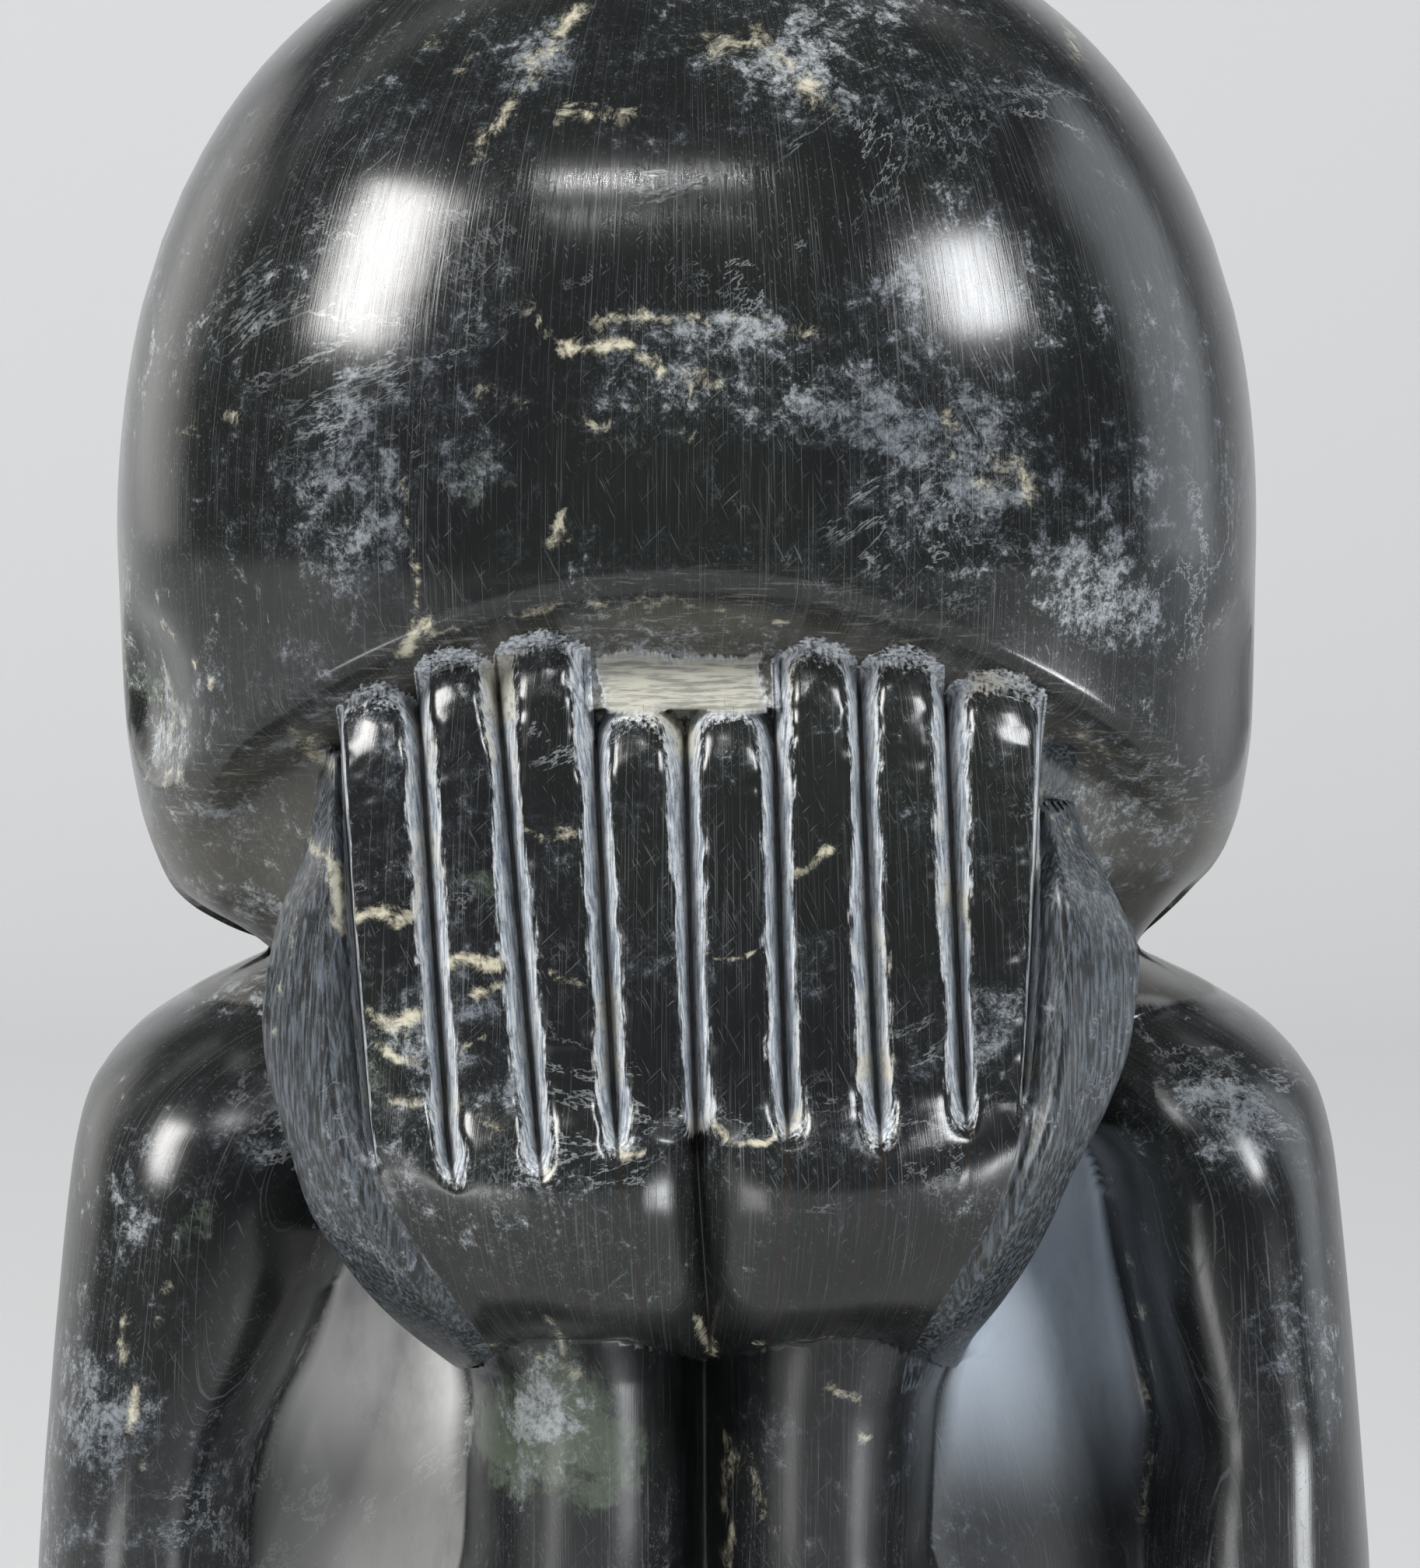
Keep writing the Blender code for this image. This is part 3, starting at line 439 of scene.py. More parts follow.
def level_sizes(z):
    """The sizes of every form at heights z, worked out once."""
    share = dome(z)
    half = along(z, TORSO_HALF)
    front = along(z, ARM_FRONT)
    middle = WRIST_DRIFT * ease((FOREARM_TOP - z) / FOREARM_TOP)
    fore = along(z, FOREARM_FRONT)
    head = (HEAD_X - along(z, HEAD_LOW_LEFT) * share, HEAD_X + along(z, HEAD_LOW_RIGHT) * share,
            along(z, HEAD_LOW_FRONT) * share, along(z, HEAD_LOW_BACK) * share, HEAD_CORNER)
    torso = (-half, half, along(z, TORSO_FRONT), along(z, TORSO_BACK), TORSO_CORNER)
    arm_right = (along(z, ARM_INNER_RIGHT), half, front, ARM_BACK, LIMB_CORNER)
    arm_left = (-half, -along(z, ARM_INNER_LEFT), front, ARM_BACK, LIMB_CORNER)
    inner = along(z, FOREARM_INNER)
    fore_right = (middle - WRIST_OVERLAP + inner, along(z, EDGE_RIGHT), fore, FOREARM_BACK, LIMB_CORNER)
    fore_left = (along(z, EDGE_LEFT), middle + WRIST_OVERLAP - inner, fore, FOREARM_BACK, LIMB_CORNER)
    wide = np.minimum(CHEST_HALF, half - CHEST_INSET)
    chest = (-wide, wide, along(z, CHEST_FRONT), CHEST_BACK, CHEST_CORNER)
    outside = (ABSENT * (z < HEAD_FOOT), ABSENT * (z > NECK_TOP), ABSENT * (z > ARM_TOP),
               ABSENT * (z > FOREARM_TOP))
    return head, torso, chest, arm_right, arm_left, fore_right, fore_left, outside


def form_reaches(x, y, sizes):
    """Signed reaches of the head, torso, chest, upper arms, right forearm and left forearm."""
    *forms, outside = sizes
    head, torso, chest, arm_right, arm_left, fore_right, fore_left = (oval(x, y, *form) for form in forms)
    arms = np.minimum(arm_right, arm_left) + outside[2]
    return (head + outside[0], torso + outside[1], chest + outside[2], arms, fore_right + outside[3],
            fore_left + outside[3])


def body(x, y, sizes):
    """Signed reach of the plain stone: head, torso, upper arms and forearms joined softly."""
    head, torso, chest, arms, fore_right, fore_left = form_reaches(x, y, sizes)
    whole = soft_least(soft_least(torso, chest, JOIN_CHEST), head, JOIN_HEAD)
    whole = soft_least(whole, arms, JOIN_ARM)
    return soft_least(whole, soft_least(fore_right, fore_left, JOIN_FOREARMS), JOIN_FOREARM)


def reach(x, ux, uy, z):
    """Distance from the inner line along each direction to the outermost point of the stone."""
    sizes = level_sizes(z)
    far = np.full(x.shape, float(FARTHEST))
    near = np.zeros(x.shape)
    found = np.zeros(x.shape, bool)
    for step in range(FARTHEST):
        t = FARTHEST - 1.0 - step
        inside = body(x + ux * t, uy * t, sizes) < 0.0
        new = inside & ~found
        near = np.where(new, t, near)
        far = np.where(new, t + 1.0, far)
        found = found | inside
    for _ in range(HALVINGS):
        mid = 0.5 * (near + far)
        inside = body(x + ux * mid, uy * mid, sizes) < 0.0
        near = np.where(inside, mid, near)
        far = np.where(inside, far, mid)
    return 0.5 * (near + far)


def grooves(z):
    """The nine groove lines at height z, first axis left to right."""
    return np.array([along(z, tuple(zip(GROOVE_Z, line))) for line in GROOVE_X])


def brow_edge(x):
    """Height of the arched edge of the brow."""
    return BROW_Z - BROW_FALL * (x - HEAD_X) ** 2


def brow_cut(x, z):
    """How far the face is cut back under the arched brow."""
    back = BROW_CUT * ease((brow_edge(x) - z) / BROW_BAND)
    fade = ease((BROW_HALF - np.abs(x - HEAD_X)) / BROW_FADE) * ease((z - CHEEK_LOW) / CHEEK_FADE)
    return back * fade


def ear_pit(x, y, z):
    """Depth of the small scooped hollow at each side of the head, deeper on the left."""
    along_y = (y - EAR_Y) / EAR_LONG
    along_z = (z - EAR_Z) / EAR_TALL
    deep = np.where(x < 0, EAR_DEEP[0], EAR_DEEP[1]) * (np.abs(x) > EAR_FROM)
    return deep * np.clip(1 - along_y ** 2 - along_z ** 2, 0.0, 1.0)


def hashed(i, j, seed):
    """A fixed number from 0 to 1 for each pair of whole numbers."""
    value = np.sin(i * 127.1 + j * 311.7 + seed * 74.7) * 43758.5453
    return value - np.floor(value)


def grain(u, v, seed):
    """Smooth noise from -1 to 1: hashed numbers at the four whole corners round (u, v), eased together."""
    i = np.floor(u)
    j = np.floor(v)
    s = ease(u - i)
    t = ease(v - j)
    low = hashed(i, j, seed) * (1 - s) + hashed(i + 1, j, seed) * s
    high = hashed(i, j + 1, seed) * (1 - s) + hashed(i + 1, j + 1, seed) * s
    return 2 * (low * (1 - t) + high * t) - 1


def mixed_grain(u, v, seed):
    """Noise from about -1 to 1: three layers of grain, each twice as fine and half as strong."""
    return (grain(u, v, seed) + 0.5 * grain(2.03 * u, 2.03 * v, seed + 1)
            + 0.25 * grain(4.1 * u, 4.1 * v, seed + 2)) / 1.5


def finger_shares(z, i):
    """Where the flat front of finger i ends towards its left and right groove, as a share of the half width.

    Each is a mean share plus slow and fast noise in height, so that the cut edges wander and chip.
    """
    shares = []
    for outermost, where, seed in ((i == 0, (0.37, 0.61), 3), (i == 7, (0.83, 0.19), 5)):
        wander = WANDER[0] * grain(0.10 * z, i + where[0], seed)
        wander = wander + WANDER[1] * grain(0.42 * z, i + where[1], seed + 1)
        shares.append(OUTER_SHARE + OUTER_WANDER * wander if outermost else GROOVE_SHARE + wander)
    return shares


def finger_parts(x, z):
    """Arrays over the skin that tell where the fingers are.

    line is the distance in millimetres to the nearest groove, wall is 0 on the flat fronts and rises to 1 at
    the groove, cut is how far the groove has begun, below is the height under the fingertip, number is the
    finger counted from the left or -1 where there is none, and edge is 0 mid-finger and 1 at a groove.
    """
    lines = grooves(z)
    line = np.full_like(x, OFF_HAND)
    parts = [np.full_like(x, value) for value in (0.0, 0.0, -OFF_HAND, -1.0, 0.0)]
    for i in range(8):
        f = np.clip((x - lines[i]) / np.maximum(lines[i + 1] - lines[i], 0.5), 0.0, 1.0)
        here = (x >= lines[i]) & (x <= lines[i + 1])
        edge = np.abs(2 * f - 1)
        left, right = finger_shares(z, i)
        share = np.where(f < 0.5, left, right)
        wall = np.clip((edge - share) / (1 - share), 0.0, 1.0)
        end = GROOVE_END[i] * (1 - f) + GROOVE_END[i + 1] * f
        cut = ease((z - end + CUT_LEAD) / CUT_RUN)
        below = FINGER_TIP[i] - TIP_DROP * edge ** TIP_CURVE - z
        parts = [np.where(here, new, old) for new, old in zip((wall, cut, below, float(i), edge), parts)]
    for gap in x - lines:
        line = np.where(np.abs(gap) < np.abs(line), gap, line)
    return line, *parts


def hand_front(x, z, middle):
    """Depth of the hands' front, which curves back from the middle."""
    return along(z, HAND_FRONT) - HAND_BEND * (x - middle) ** 2


def hands(x, z, relief):
    """Depth in front of the inner line of the hands' skin, and 0 where there is no hand.

    Each finger is a flat front with slanted walls down to the groove lines and a quarter-round tip. The
    backs of the hands swell, with a crease between them, and each thumb is a ridge with an outer slope.
    relief scales the chisel and file marks.
    """
    lines = grooves(z)
    middle = lines[4]
    line, wall, cut, below, number, edge = finger_parts(x, z)
    palm = ease((z - along(x, HAND_LOW) + PALM_LIP[0]) / PALM_LIP[1])
    deep = GROOVE_DEEP * wall ** WALL_CURVE + FINGER_CROWN * edge ** 2
    chip = CHIP_DEEP * relief * grain(1.4 * x, 0.9 * z, 11) * np.clip(1 - np.abs(wall - 0.15) / 0.3, 0, 1)
    crack = CRACK_DEEP * relief * np.clip(1 - np.abs(line) / CRACK_HALF, 0, 1)
    over = np.clip((TIP_LENGTH - below) / TIP_LENGTH, 0.0, 1.0)
    round_off = TIP_FALL * (1 - np.sqrt(np.maximum(1 - over ** 2, 0.0)))
    fingers = hand_front(x, z, middle) - cut * (deep + chip + crack) - round_off
    skin = np.where((number >= 0) & (below >= 0), fingers, 0.0)
    crease = np.exp(-np.abs(x - middle) / CREASE_WIDE) * ease((CREASE_TOP - z) / CREASE_FADE)
    side = np.clip(np.abs(x - middle) / np.maximum(lines[8] - middle, 1.0), 0.0, 1.0)
    swell = PALM_SWELL * np.sin(np.pi * side) * ease((SWELL_HIGH[0] - z) / SWELL_HIGH[1])
    swell = swell * ease((z - SWELL_LOW[0]) / SWELL_LOW[1])
    fan = grain(1.7 * (x - middle) * 80.0 / np.maximum(z, 1.0), 0.10 * z, 12)
    fan = FAN_DEEP * relief * ease((GROOVE_END[0] + 1.0 - z) / 4.0) * fan
    skin = skin + (swell + fan - CREASE_DEEP * crease) * (skin > 0)
    for right, edge_line in enumerate((EDGE_LEFT, EDGE_RIGHT)):
        inner = lines[8 * right]
        outer = along(z, edge_line)
        t = np.clip((x - inner) / (outer - inner), 0.0, 1.0)
        slope = np.maximum(t - THUMB_RIDGE, 0.0) / (1 - THUMB_RIDGE)
        blend = sum(share * ease((z - start) / BLEND_RUN) for share, start in THUMB_BLEND)
        dip = -THUMB_DIP * blend * (1 - t / THUMB_RIDGE)
        rise = np.where(t < THUMB_RIDGE, dip, -THUMB_FALL * slope ** THUMB_CURVE)
        drop = THUMB_DROP * ease((z - THUMB_TIP[right] + DROP_RUN) / DROP_RUN)
        filed = FILE_DEEP * relief * grain(9.0 * t, 0.06 * z, 13 + right)
        height = np.where(z > THUMB_TIP[right], 0.0, hand_front(inner, z, middle) + rise + filed - drop)
        way = 2 * right - 1
        here = ((x - inner) * way > 0) & ((x - outer) * way <= EDGE_SLACK)
        skin = np.where(here, height, skin)
    on_ledge = (x > lines[3] - LEDGE_REACH) & (x < lines[5] + LEDGE_REACH)
    on_ledge = on_ledge & (z > LEDGE_LOW) & (z < LEDGE_HIGH + LEDGE_LIP)
    shelf = LEDGE_DEPTH + LEDGE_SLOPE * (LEDGE_HIGH - z) + PICK_DEEP * relief * grain(0.16 * x, 1.9 * z, 15)
    skin = np.where(on_ledge, np.maximum(skin, shelf), skin)
    heel = np.clip(1 - (z - along(x, HAND_LOW)) / HEEL_LENGTH, 0.0, 1.0)
    skin = skin - HEEL_FALL * (1 - np.sqrt(1 - heel ** 2))
    return np.maximum(skin, 0.0) * palm


def column_plan():
    """For every column: the stop it starts from, its share of the way to the next stop, and its direction.

    Over the fingers the shares crowd towards the groove lines.
    """
    steps = [COUNT_OUTER, COUNT_OUTER, COUNT_THUMB] + [COUNT_FINGER] * 8
    steps = steps + [COUNT_THUMB, COUNT_OUTER, COUNT_OUTER]
    plan = []
    for k, count in enumerate(steps):
        for i in range(count):
            u = i / count
            crowd = CROWD * math.sin(2 * math.pi * u) / (2 * math.pi) if count == COUNT_FINGER else 0.0
            plan.append((k, u - crowd, 0.0))
    last = len(steps)
    plan.append((last - 1, 1.0, 0.0))
    turns = np.interp(np.arange(1, COUNT_SIDE) / COUNT_SIDE, SIDE_SHARES, SIDE_ANGLES)
    plan = plan + [(last - 1, 1.0, angle) for angle in turns]
    plan = plan + [(last, i / COUNT_BACK, 180.0) for i in range(COUNT_BACK + 1)]
    plan = plan + [(0, 0.0, -angle) for angle in reversed(turns)]
    stop, share, angle = (np.array(part) for part in zip(*plan))
    return stop.astype(int), share, np.radians(angle)


def column_start(z, stop, share):
    """Start x of every column at its own heights: stops run left to right and then back to the first."""
    crown = np.where(z > HEAD_Z, dome(z), 1.0)
    half = along(z, LINE_HALF) * crown
    mid = HEAD_X * ease((z - SHIFT_LOW) / SHIFT_RUN)
    edges = []
    arms = []
    for way, outer, inner, top in ((1, EDGE_RIGHT, ARM_INNER_RIGHT, ARM_STOPS[0]),
                                   (-1, EDGE_LEFT, ARM_INNER_LEFT, ARM_STOPS[1])):
        edge = along(z, outer) * crown
        arm = edge + ARM_SHARE * (mid + way * half - edge)
        low = ease((top - z) / ARM_RUN)
        edges.append(edge)
        arms.append(arm * (1 - low) + way * np.maximum(along(z, inner), way * edge + 1.0) * low)
    stops = [mid - half, arms[1], edges[1], *(grooves(z) * crown), edges[0], arms[0], mid + half, mid - half]
    stops = np.array(stops)
    index = np.broadcast_to(stop, z.shape)[None]
    here = np.take_along_axis(stops, index, axis=0)[0]
    after = np.take_along_axis(stops, index + 1, axis=0)[0]
    return here * (1 - share) + after * share


def row_heights(gap):
    """Heights of the rows: gap apart over the hands and face, wider below and above, closer at the crown."""
    foot = np.array([0.0, 0.5])
    low = np.arange(FOOT_BEVEL, FINE_LOW, ROW_WIDE)
    fine = np.arange(FINE_LOW, FINE_HIGH, gap)
    high = np.arange(FINE_HIGH, CROWN_LOW, ROW_WIDE)
    share = np.linspace(dome(np.array([CROWN_LOW]))[0], CROWN_END, CROWN_ROWS)
    crown = HEAD_Z + HEAD_RISE * (1 - share ** HEAD_ROUND) ** (1 / HEAD_ROUND)
    return np.concatenate([foot, low, fine, high, crown])


def skin_points(gap, relief):
    """Rows by columns by three, in millimetres: the skin's points and the direction each was found along.

    Each point is the inner line's start plus the outermost reach of the joined forms along the direction,
    less the brow cut and the ear hollow, and not less than the hands. Two layers of noise make it uneven.
    """
    rows = row_heights(gap)
    stop, share, angle = column_plan()
    level = np.repeat(rows[:, None], len(stop), axis=1)
    x = column_start(level, stop, share)
    sag = along(level, ROW_SAG) * np.minimum(((x - HEAD_X) / SAG_HALF) ** 2, SAG_MOST)
    z = level - sag * np.cos(0.5 * angle) ** 2
    x = column_start(z, stop, share)
    ux = np.broadcast_to(np.sin(angle), z.shape)
    uy = np.broadcast_to(-np.cos(angle), z.shape)
    t = reach(x, ux, uy, z)
    px = x + ux * t
    py = uy * t
    t = t - np.where(uy < -0.9, brow_cut(px, z), 0.0)
    t = t - ear_pit(px, py, z)
    turn = np.broadcast_to(angle, z.shape)
    calm = ease((z - CALM_FOOT[0]) / CALM_FOOT[1]) * ease((CALM_CROWN[0] - z) / CALM_CROWN[1])
    slow = UNEVEN_DEEP[0] * grain(0.055 * px + 3.0 * np.sin(turn), 0.06 * z, 21)
    fast = UNEVEN_DEEP[1] * grain(0.2 * px + 9.0 * np.sin(turn), 0.16 * z, 22)
    t = t + relief * calm * (slow + fast)
    straight = uy < -0.999
    t = np.where(straight, soft_most(t, hands(x, z, relief), JOIN_HAND), t)
    t = np.where(level < FOOT_BEVEL, t - FOOT_BEVEL + level, t)
    return np.stack([x + ux * t, uy * t, z], axis=-1), np.stack([ux, uy], axis=-1)


def stroke_field(x, z, strokes):
    """Closeness to strokes: 1 on a stroke's line, falling to 0 at its width, times its strength."""
    field = np.zeros_like(x)
    for width, strength, *path in strokes:
        points = np.array(path, float)
        best = np.full_like(x, 1e3)
        for a, b in zip(points[:-1], points[1:]):
            run = b - a
            t = np.clip(((x - a[0]) * run[0] + (z - a[1]) * run[1]) / max(run @ run, 1e-9), 0.0, 1.0)
            best = np.minimum(best, np.hypot(x - a[0] - t * run[0], z - a[1] - t * run[1]))
        field = np.maximum(field, strength * np.clip(1 - best / width, 0.0, 1.0))
    return field


def blob_field(x, z, blobs):
    """Closeness to listed ovals: 1 at the middle, 0 at the rim, times the oval's strength."""
    field = np.zeros_like(x)
    for cx, cz, wide, tall, lean, strength in blobs:
        c = math.cos(math.radians(lean))
        s = math.sin(math.radians(lean))
        u = ((x - cx) * c + (z - cz) * s) / wide
        v = ((z - cz) * c - (x - cx) * s) / tall
        field = np.maximum(field, strength * np.clip(1.25 * (1 - u * u - v * v), 0.0, 1.0))
    return field


def form_shares(x, y, z):
    """Which form each point lies on, from 0 to 1: the chest or torso, an upper arm and a forearm.

    A form's share is 1 where its own signed reach is well below that of all the others.
    """
    head, torso, chest, arms, fore_right, fore_left = form_reaches(x, y, level_sizes(z))
    reaches = [np.minimum(chest, torso), arms, np.minimum(fore_right, fore_left), head]
    shares = []
    for i, own in enumerate(reaches[:3]):
        others = np.min(reaches[:i] + reaches[i + 1:], axis=0)
        shares.append(ease((others - own + 0.3) / 0.9))
    return shares


def drifted(x, z, size, far, seed):
    """Place (x, z) pushed about by noise of that size in millimetres, which makes outlines uneven."""
    return (x + far * mixed_grain(x / size, z / size, seed),
            z + far * mixed_grain(x / size + 31.0, z / size + 17.0, seed + 5))


def skin_marks(points, ways):
    """Named arrays over the skin that the material reads, from 0 to about 1 unless said otherwise.

    groove is the distance to the nearest groove line in millimetres. wall is the cut groove walls and
    knuckle ends, ledge the shelf between the middle fingers, band the strip under the brow's edge, under all
    of the face below it, filed the thumbs, soft the less polished arms, and satin the ground but unpolished
    zones. spun is the place on a cylinder round the head, in metres. cream, haze, green and dark are marks
    of the stone itself.
    """
    x, y, z = np.moveaxis(points, -1, 0)
    facing = ease((-ways[..., 1] - 0.15) / 0.5)
    straight = facing > 0.99
    chest, arm, fore = form_shares(x, y, z)
    line, wall, cut, below, _, _ = finger_parts(x, z)
    lines = grooves(z)
    on_hand = (x > lines[0] - MARK_EDGE) & (x < lines[8] + MARK_EDGE) & straight & (z > along(x, HAND_LOW))
    on_hand = on_hand & (below > -0.5) & (-y - hand_front(x, z, lines[4]) > HAND_BEHIND)
    on_left = (x <= lines[0]) & (x >= along(z, EDGE_LEFT) - MARK_EDGE)
    on_right = (x >= lines[8]) & (x <= along(z, EDGE_RIGHT) + MARK_EDGE)
    on_thumb = straight & (on_left | on_right) & (z > THUMB_FOOT) & (z < THUMB_HEAD)
    off_hand = ~(on_hand | on_thumb)
    tip = np.clip(1 - np.abs(below - 0.4) / 2.0, 0.0, 1.0)
    walls = on_hand * np.maximum(np.clip(1.6 * wall, 0, 1) * cut, 0.4 * tip)
    under_edge = brow_edge(x) - z
    under = ease((under_edge - 1.0) / 4.0) * facing * (z > HEAD_FOOT + 4.0) * off_hand
    chest = chest * facing * off_hand * ease((CHEST_TOP[0] - z) / CHEST_TOP[1])
    # Painted sheen on the chest: paler towards the top, with painted shade that dims it beside the forearms.
    pale = [low + (1 - low) * ease((z - start) / run) for low, start, run in CHEST_SHEEN_RISE]
    pale = np.where(x < 0, *pale) * (0.80 + 0.20 * ease((np.abs(x) - 26.0) / 12.0))
    hand = on_hand * (HAND_DULL + HEEL_DULL * ease((GROOVE_END[0] + 2.0 - z) / 5.0))
    satin = np.max([hand, THUMB_DULL * on_thumb, UNDER_DULL * under, CHEST_DULL * chest,
                    FORE_DULL * fore * facing * off_hand], axis=0)
    stroke_x, stroke_z = drifted(x, z, 2.4, 0.8, 31)
    blob_x, blob_z = drifted(x, z, 7.0, 3.6, 37)
    turn = np.arctan2(x - HEAD_X, -y)
    ledge = straight * ease((stroke_x - lines[3] - 0.2) / 1.2) * ease((lines[5] - 0.2 - stroke_x) / 1.2)
    ledge = ledge * ease((stroke_z - LEDGE_LOW + 0.8) / 1.2) * ease((LEDGE_HIGH + 0.6 - stroke_z) / 1.4)
    return {
        "groove": np.where(on_hand, line, OFF_HAND),
        "wall": np.maximum(walls, 0.95 * ledge),
        "satin": satin,
        "chest": chest * pale,
        "soft": off_hand * np.maximum(arm, 0.4 * fore),
        "under": under,
        "ledge": ledge,
        "band": facing * np.clip(1 - np.abs(under_edge - 4.0) / 6.0, 0.0, 1.0) * ~on_hand,
        "filed": 1.0 * on_thumb,
        "spun": np.stack([SPUN_RADIUS * np.sin(turn), SPUN_RADIUS * np.cos(turn), 0.001 * z], axis=-1),
        "cream": facing * stroke_field(stroke_x, stroke_z, CREAM_STROKES),
        "haze": facing * blob_field(blob_x, blob_z, HAZE_BLOBS),
        "green": facing * blob_field(blob_x, blob_z, GREEN_BLOBS),
        "dark": facing * blob_field(stroke_x, stroke_z, DARK_BLOBS),
    }


def grid_faces(rows, count, columns):
    """Faces between the rows of a grid of count points a row, one from each of that many columns."""
    low = np.arange(rows - 1)[:, None] * count
    left = np.arange(columns)[None]
    right = (left + 1) % count
    corners = [low + left, low + right, low + count + right, low + count + left]
    return np.stack(corners, axis=-1).reshape(-1, 4)


def stone_mesh(gap, relief):
    """Closed mesh of the carved skin, fitted to the solid's box, with the marks as point attributes."""
    points, ways = skin_points(gap, relief)
    marks = skin_marks(points, ways)
    rows, count = points.shape[:2]
    top = points[-1].mean(axis=0)
    top[2] = HEAD_Z + HEAD_RISE
    foot = points[0].mean(axis=0)
    foot[2] = 0.0
    verts = np.concatenate([points.reshape(-1, 3), top[None], foot[None]])
    low = verts.min(axis=0)
    high = verts.max(axis=0)
    box_low, box_high = (np.array(corner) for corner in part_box(NODE))
    verts = box_low + (verts - low) * (box_high - box_low) / (high - low)
    quads = grid_faces(rows, count, count)
    ring = np.arange(count)
    after = (ring + 1) % count
    last = (rows - 1) * count
    cap = np.stack([last + ring, last + after, np.full(count, rows * count)], axis=-1)
    sole = np.stack([after, ring, np.full(count, rows * count + 1)], axis=-1)
    mesh = bpy.data.meshes.new(NODE)
    mesh.from_pydata(verts.tolist(), [], quads.tolist() + cap.tolist() + sole.tolist())
    mesh.update()
    mesh.polygons.foreach_set("use_smooth", np.arange(len(mesh.polygons)) < len(quads) + count)
    for name, values in marks.items():
        size = values.shape[2] if values.ndim == 3 else 1
        ends = [values[-1].reshape(-1, size).mean(axis=0, keepdims=True), np.zeros((1, size))]
        flat = np.concatenate([values.reshape(-1, size)] + ends).astype(np.float32)
        attribute = mesh.attributes.new(name, "FLOAT" if size == 1 else "FLOAT_VECTOR", "POINT")
        attribute.data.foreach_set("value" if size == 1 else "vector", flat.ravel())
    return mesh


class Shader:
    """Adds nodes to one shader tree. Every value may be a number, a colour or another node's socket."""

    def __init__(self, tree):
        self.tree = tree

    def fill(self, socket, value):
        """Links the socket to another one or gives it a plain value."""
        if isinstance(value, bpy.types.NodeSocket):
            self.tree.links.new(value, socket)
        else:
            socket.default_value = value

    def node(self, kind, settings=None, **inputs):
        """A new node. inputs are named, or numbered as i0 and i1."""
        made = self.tree.nodes.new("ShaderNode" + kind)
        for name, value in (settings or {}).items():
            setattr(made, name, value)
        for name, value in inputs.items():
            self.fill(made.inputs[int(name[1:]) if name[1:].isdigit() else name.replace("_", " ")], value)
        return made

    def maths(self, operation, a, b=0.0, c=0.0):
        """The result of one arithmetic step."""
        return self.node("Math", {"operation": operation}, i0=a, i1=b, i2=c).outputs[0]

    def times(self, a, b, plus=0.0):
        """a times b, plus a third value."""
        return self.maths("MULTIPLY_ADD", a, b, plus)

    def total(self, start, *parts):
        """The start plus every part's share times its mask."""
        for share, mask in parts:
            start = self.times(mask, share, start)
        return start

    def between(self, value, low, high):
        """Eases from 0 at low to 1 at high."""
        return self.node("MapRange", {"interpolation_type": "SMOOTHSTEP"}, Value=value, From_Min=low,
                         From_Max=high).outputs["Result"]

    def noise(self, vector, cells, detail=2.0, rough=0.5, bend=0.0):
        """Noise from 0 to 1 with that many cells to a metre."""
        return self.node("TexNoise", None, Vector=vector, Scale=cells, Detail=detail, Roughness=rough,
                         Distortion=bend).outputs["Fac"]

    def stretched(self, vector, size, tilt=None):
        """The vector tilted about y and then scaled, so that noise read through it runs in streaks."""
        if tilt:
            vector = self.node("Mapping", None, Vector=vector, Rotation=(0.0, tilt, 0.0)).outputs["Vector"]
        return self.node("Mapping", None, Vector=vector, Scale=size).outputs["Vector"]

    def streaks(self, vector, size, detail, rough, tilt=None):
        """Noise in streaks, with size cells to a metre along x, y and z."""
        return self.noise(self.stretched(vector, size, tilt), 1.0, detail, rough)

    def mixed(self, share, a, b):
        """Colour a turning to colour b."""
        return self.node("Mix", {"data_type": "RGBA"}, Factor=share, i6=a, i7=b).outputs[2]

    def layered(self, base, *layers):
        """The base colour under layers, each a strength, a mask and a colour."""
        for strength, mask, colour in layers:
            base = self.mixed(self.times(mask, strength), base, colour)
        return base


def group(name, takes, gives):
    """A new node group: its shader, input sockets and output node. Only Vector and Spun are vectors."""
    tree = bpy.data.node_groups.new(name, "ShaderNodeTree")
    for way, titles in (("INPUT", takes), ("OUTPUT", gives)):
        for title in titles:
            kind = "NodeSocketVector" if title in ("Vector", "Spun") else "NodeSocketFloat"
            tree.interface.new_socket(name=title, in_out=way, socket_type=kind)
    return Shader(tree), tree.nodes.new("NodeGroupInput").outputs, tree.nodes.new("NodeGroupOutput")


def speckle_group():
    """Crumbs of pale crystal in clouds: rough many-layered noise over slow noise, cut at one level.

    Density moves the level: crumbs crowd together where it is high and thin out where it is low.
    """
    g, given, end = group("Stone Speckle", ("Vector", "Density"), ("Mask", "Haze"))
    vector = given["Vector"]
    crumbs = g.noise(vector, 430.0, 7.0, 0.84, 0.3)
    cloud = g.noise(vector, 40.0, 5.0, 0.6, 0.9)
    grit = g.between(g.noise(vector, 2800.0, 2.0, 0.7), 0.60, 0.74)
    drift = g.total(0.0, (0.55, cloud), (0.17, given["Density"]))
    total = g.maths("ADD", crumbs, drift)
    grit = g.times(grit, g.between(drift, 0.22, 0.42))
    loose = g.between(g.noise(vector, 1700.0, 4.0, 0.8), 0.38, 0.58)
    mask = g.times(g.between(total, 0.845, 0.985), g.times(loose, 0.65, 0.35))
    g.fill(end.inputs["Mask"], g.maths("MAXIMUM", mask, g.times(grit, 0.6)))
    g.fill(end.inputs["Haze"], g.between(total, 0.74, 1.0))
    return g.tree


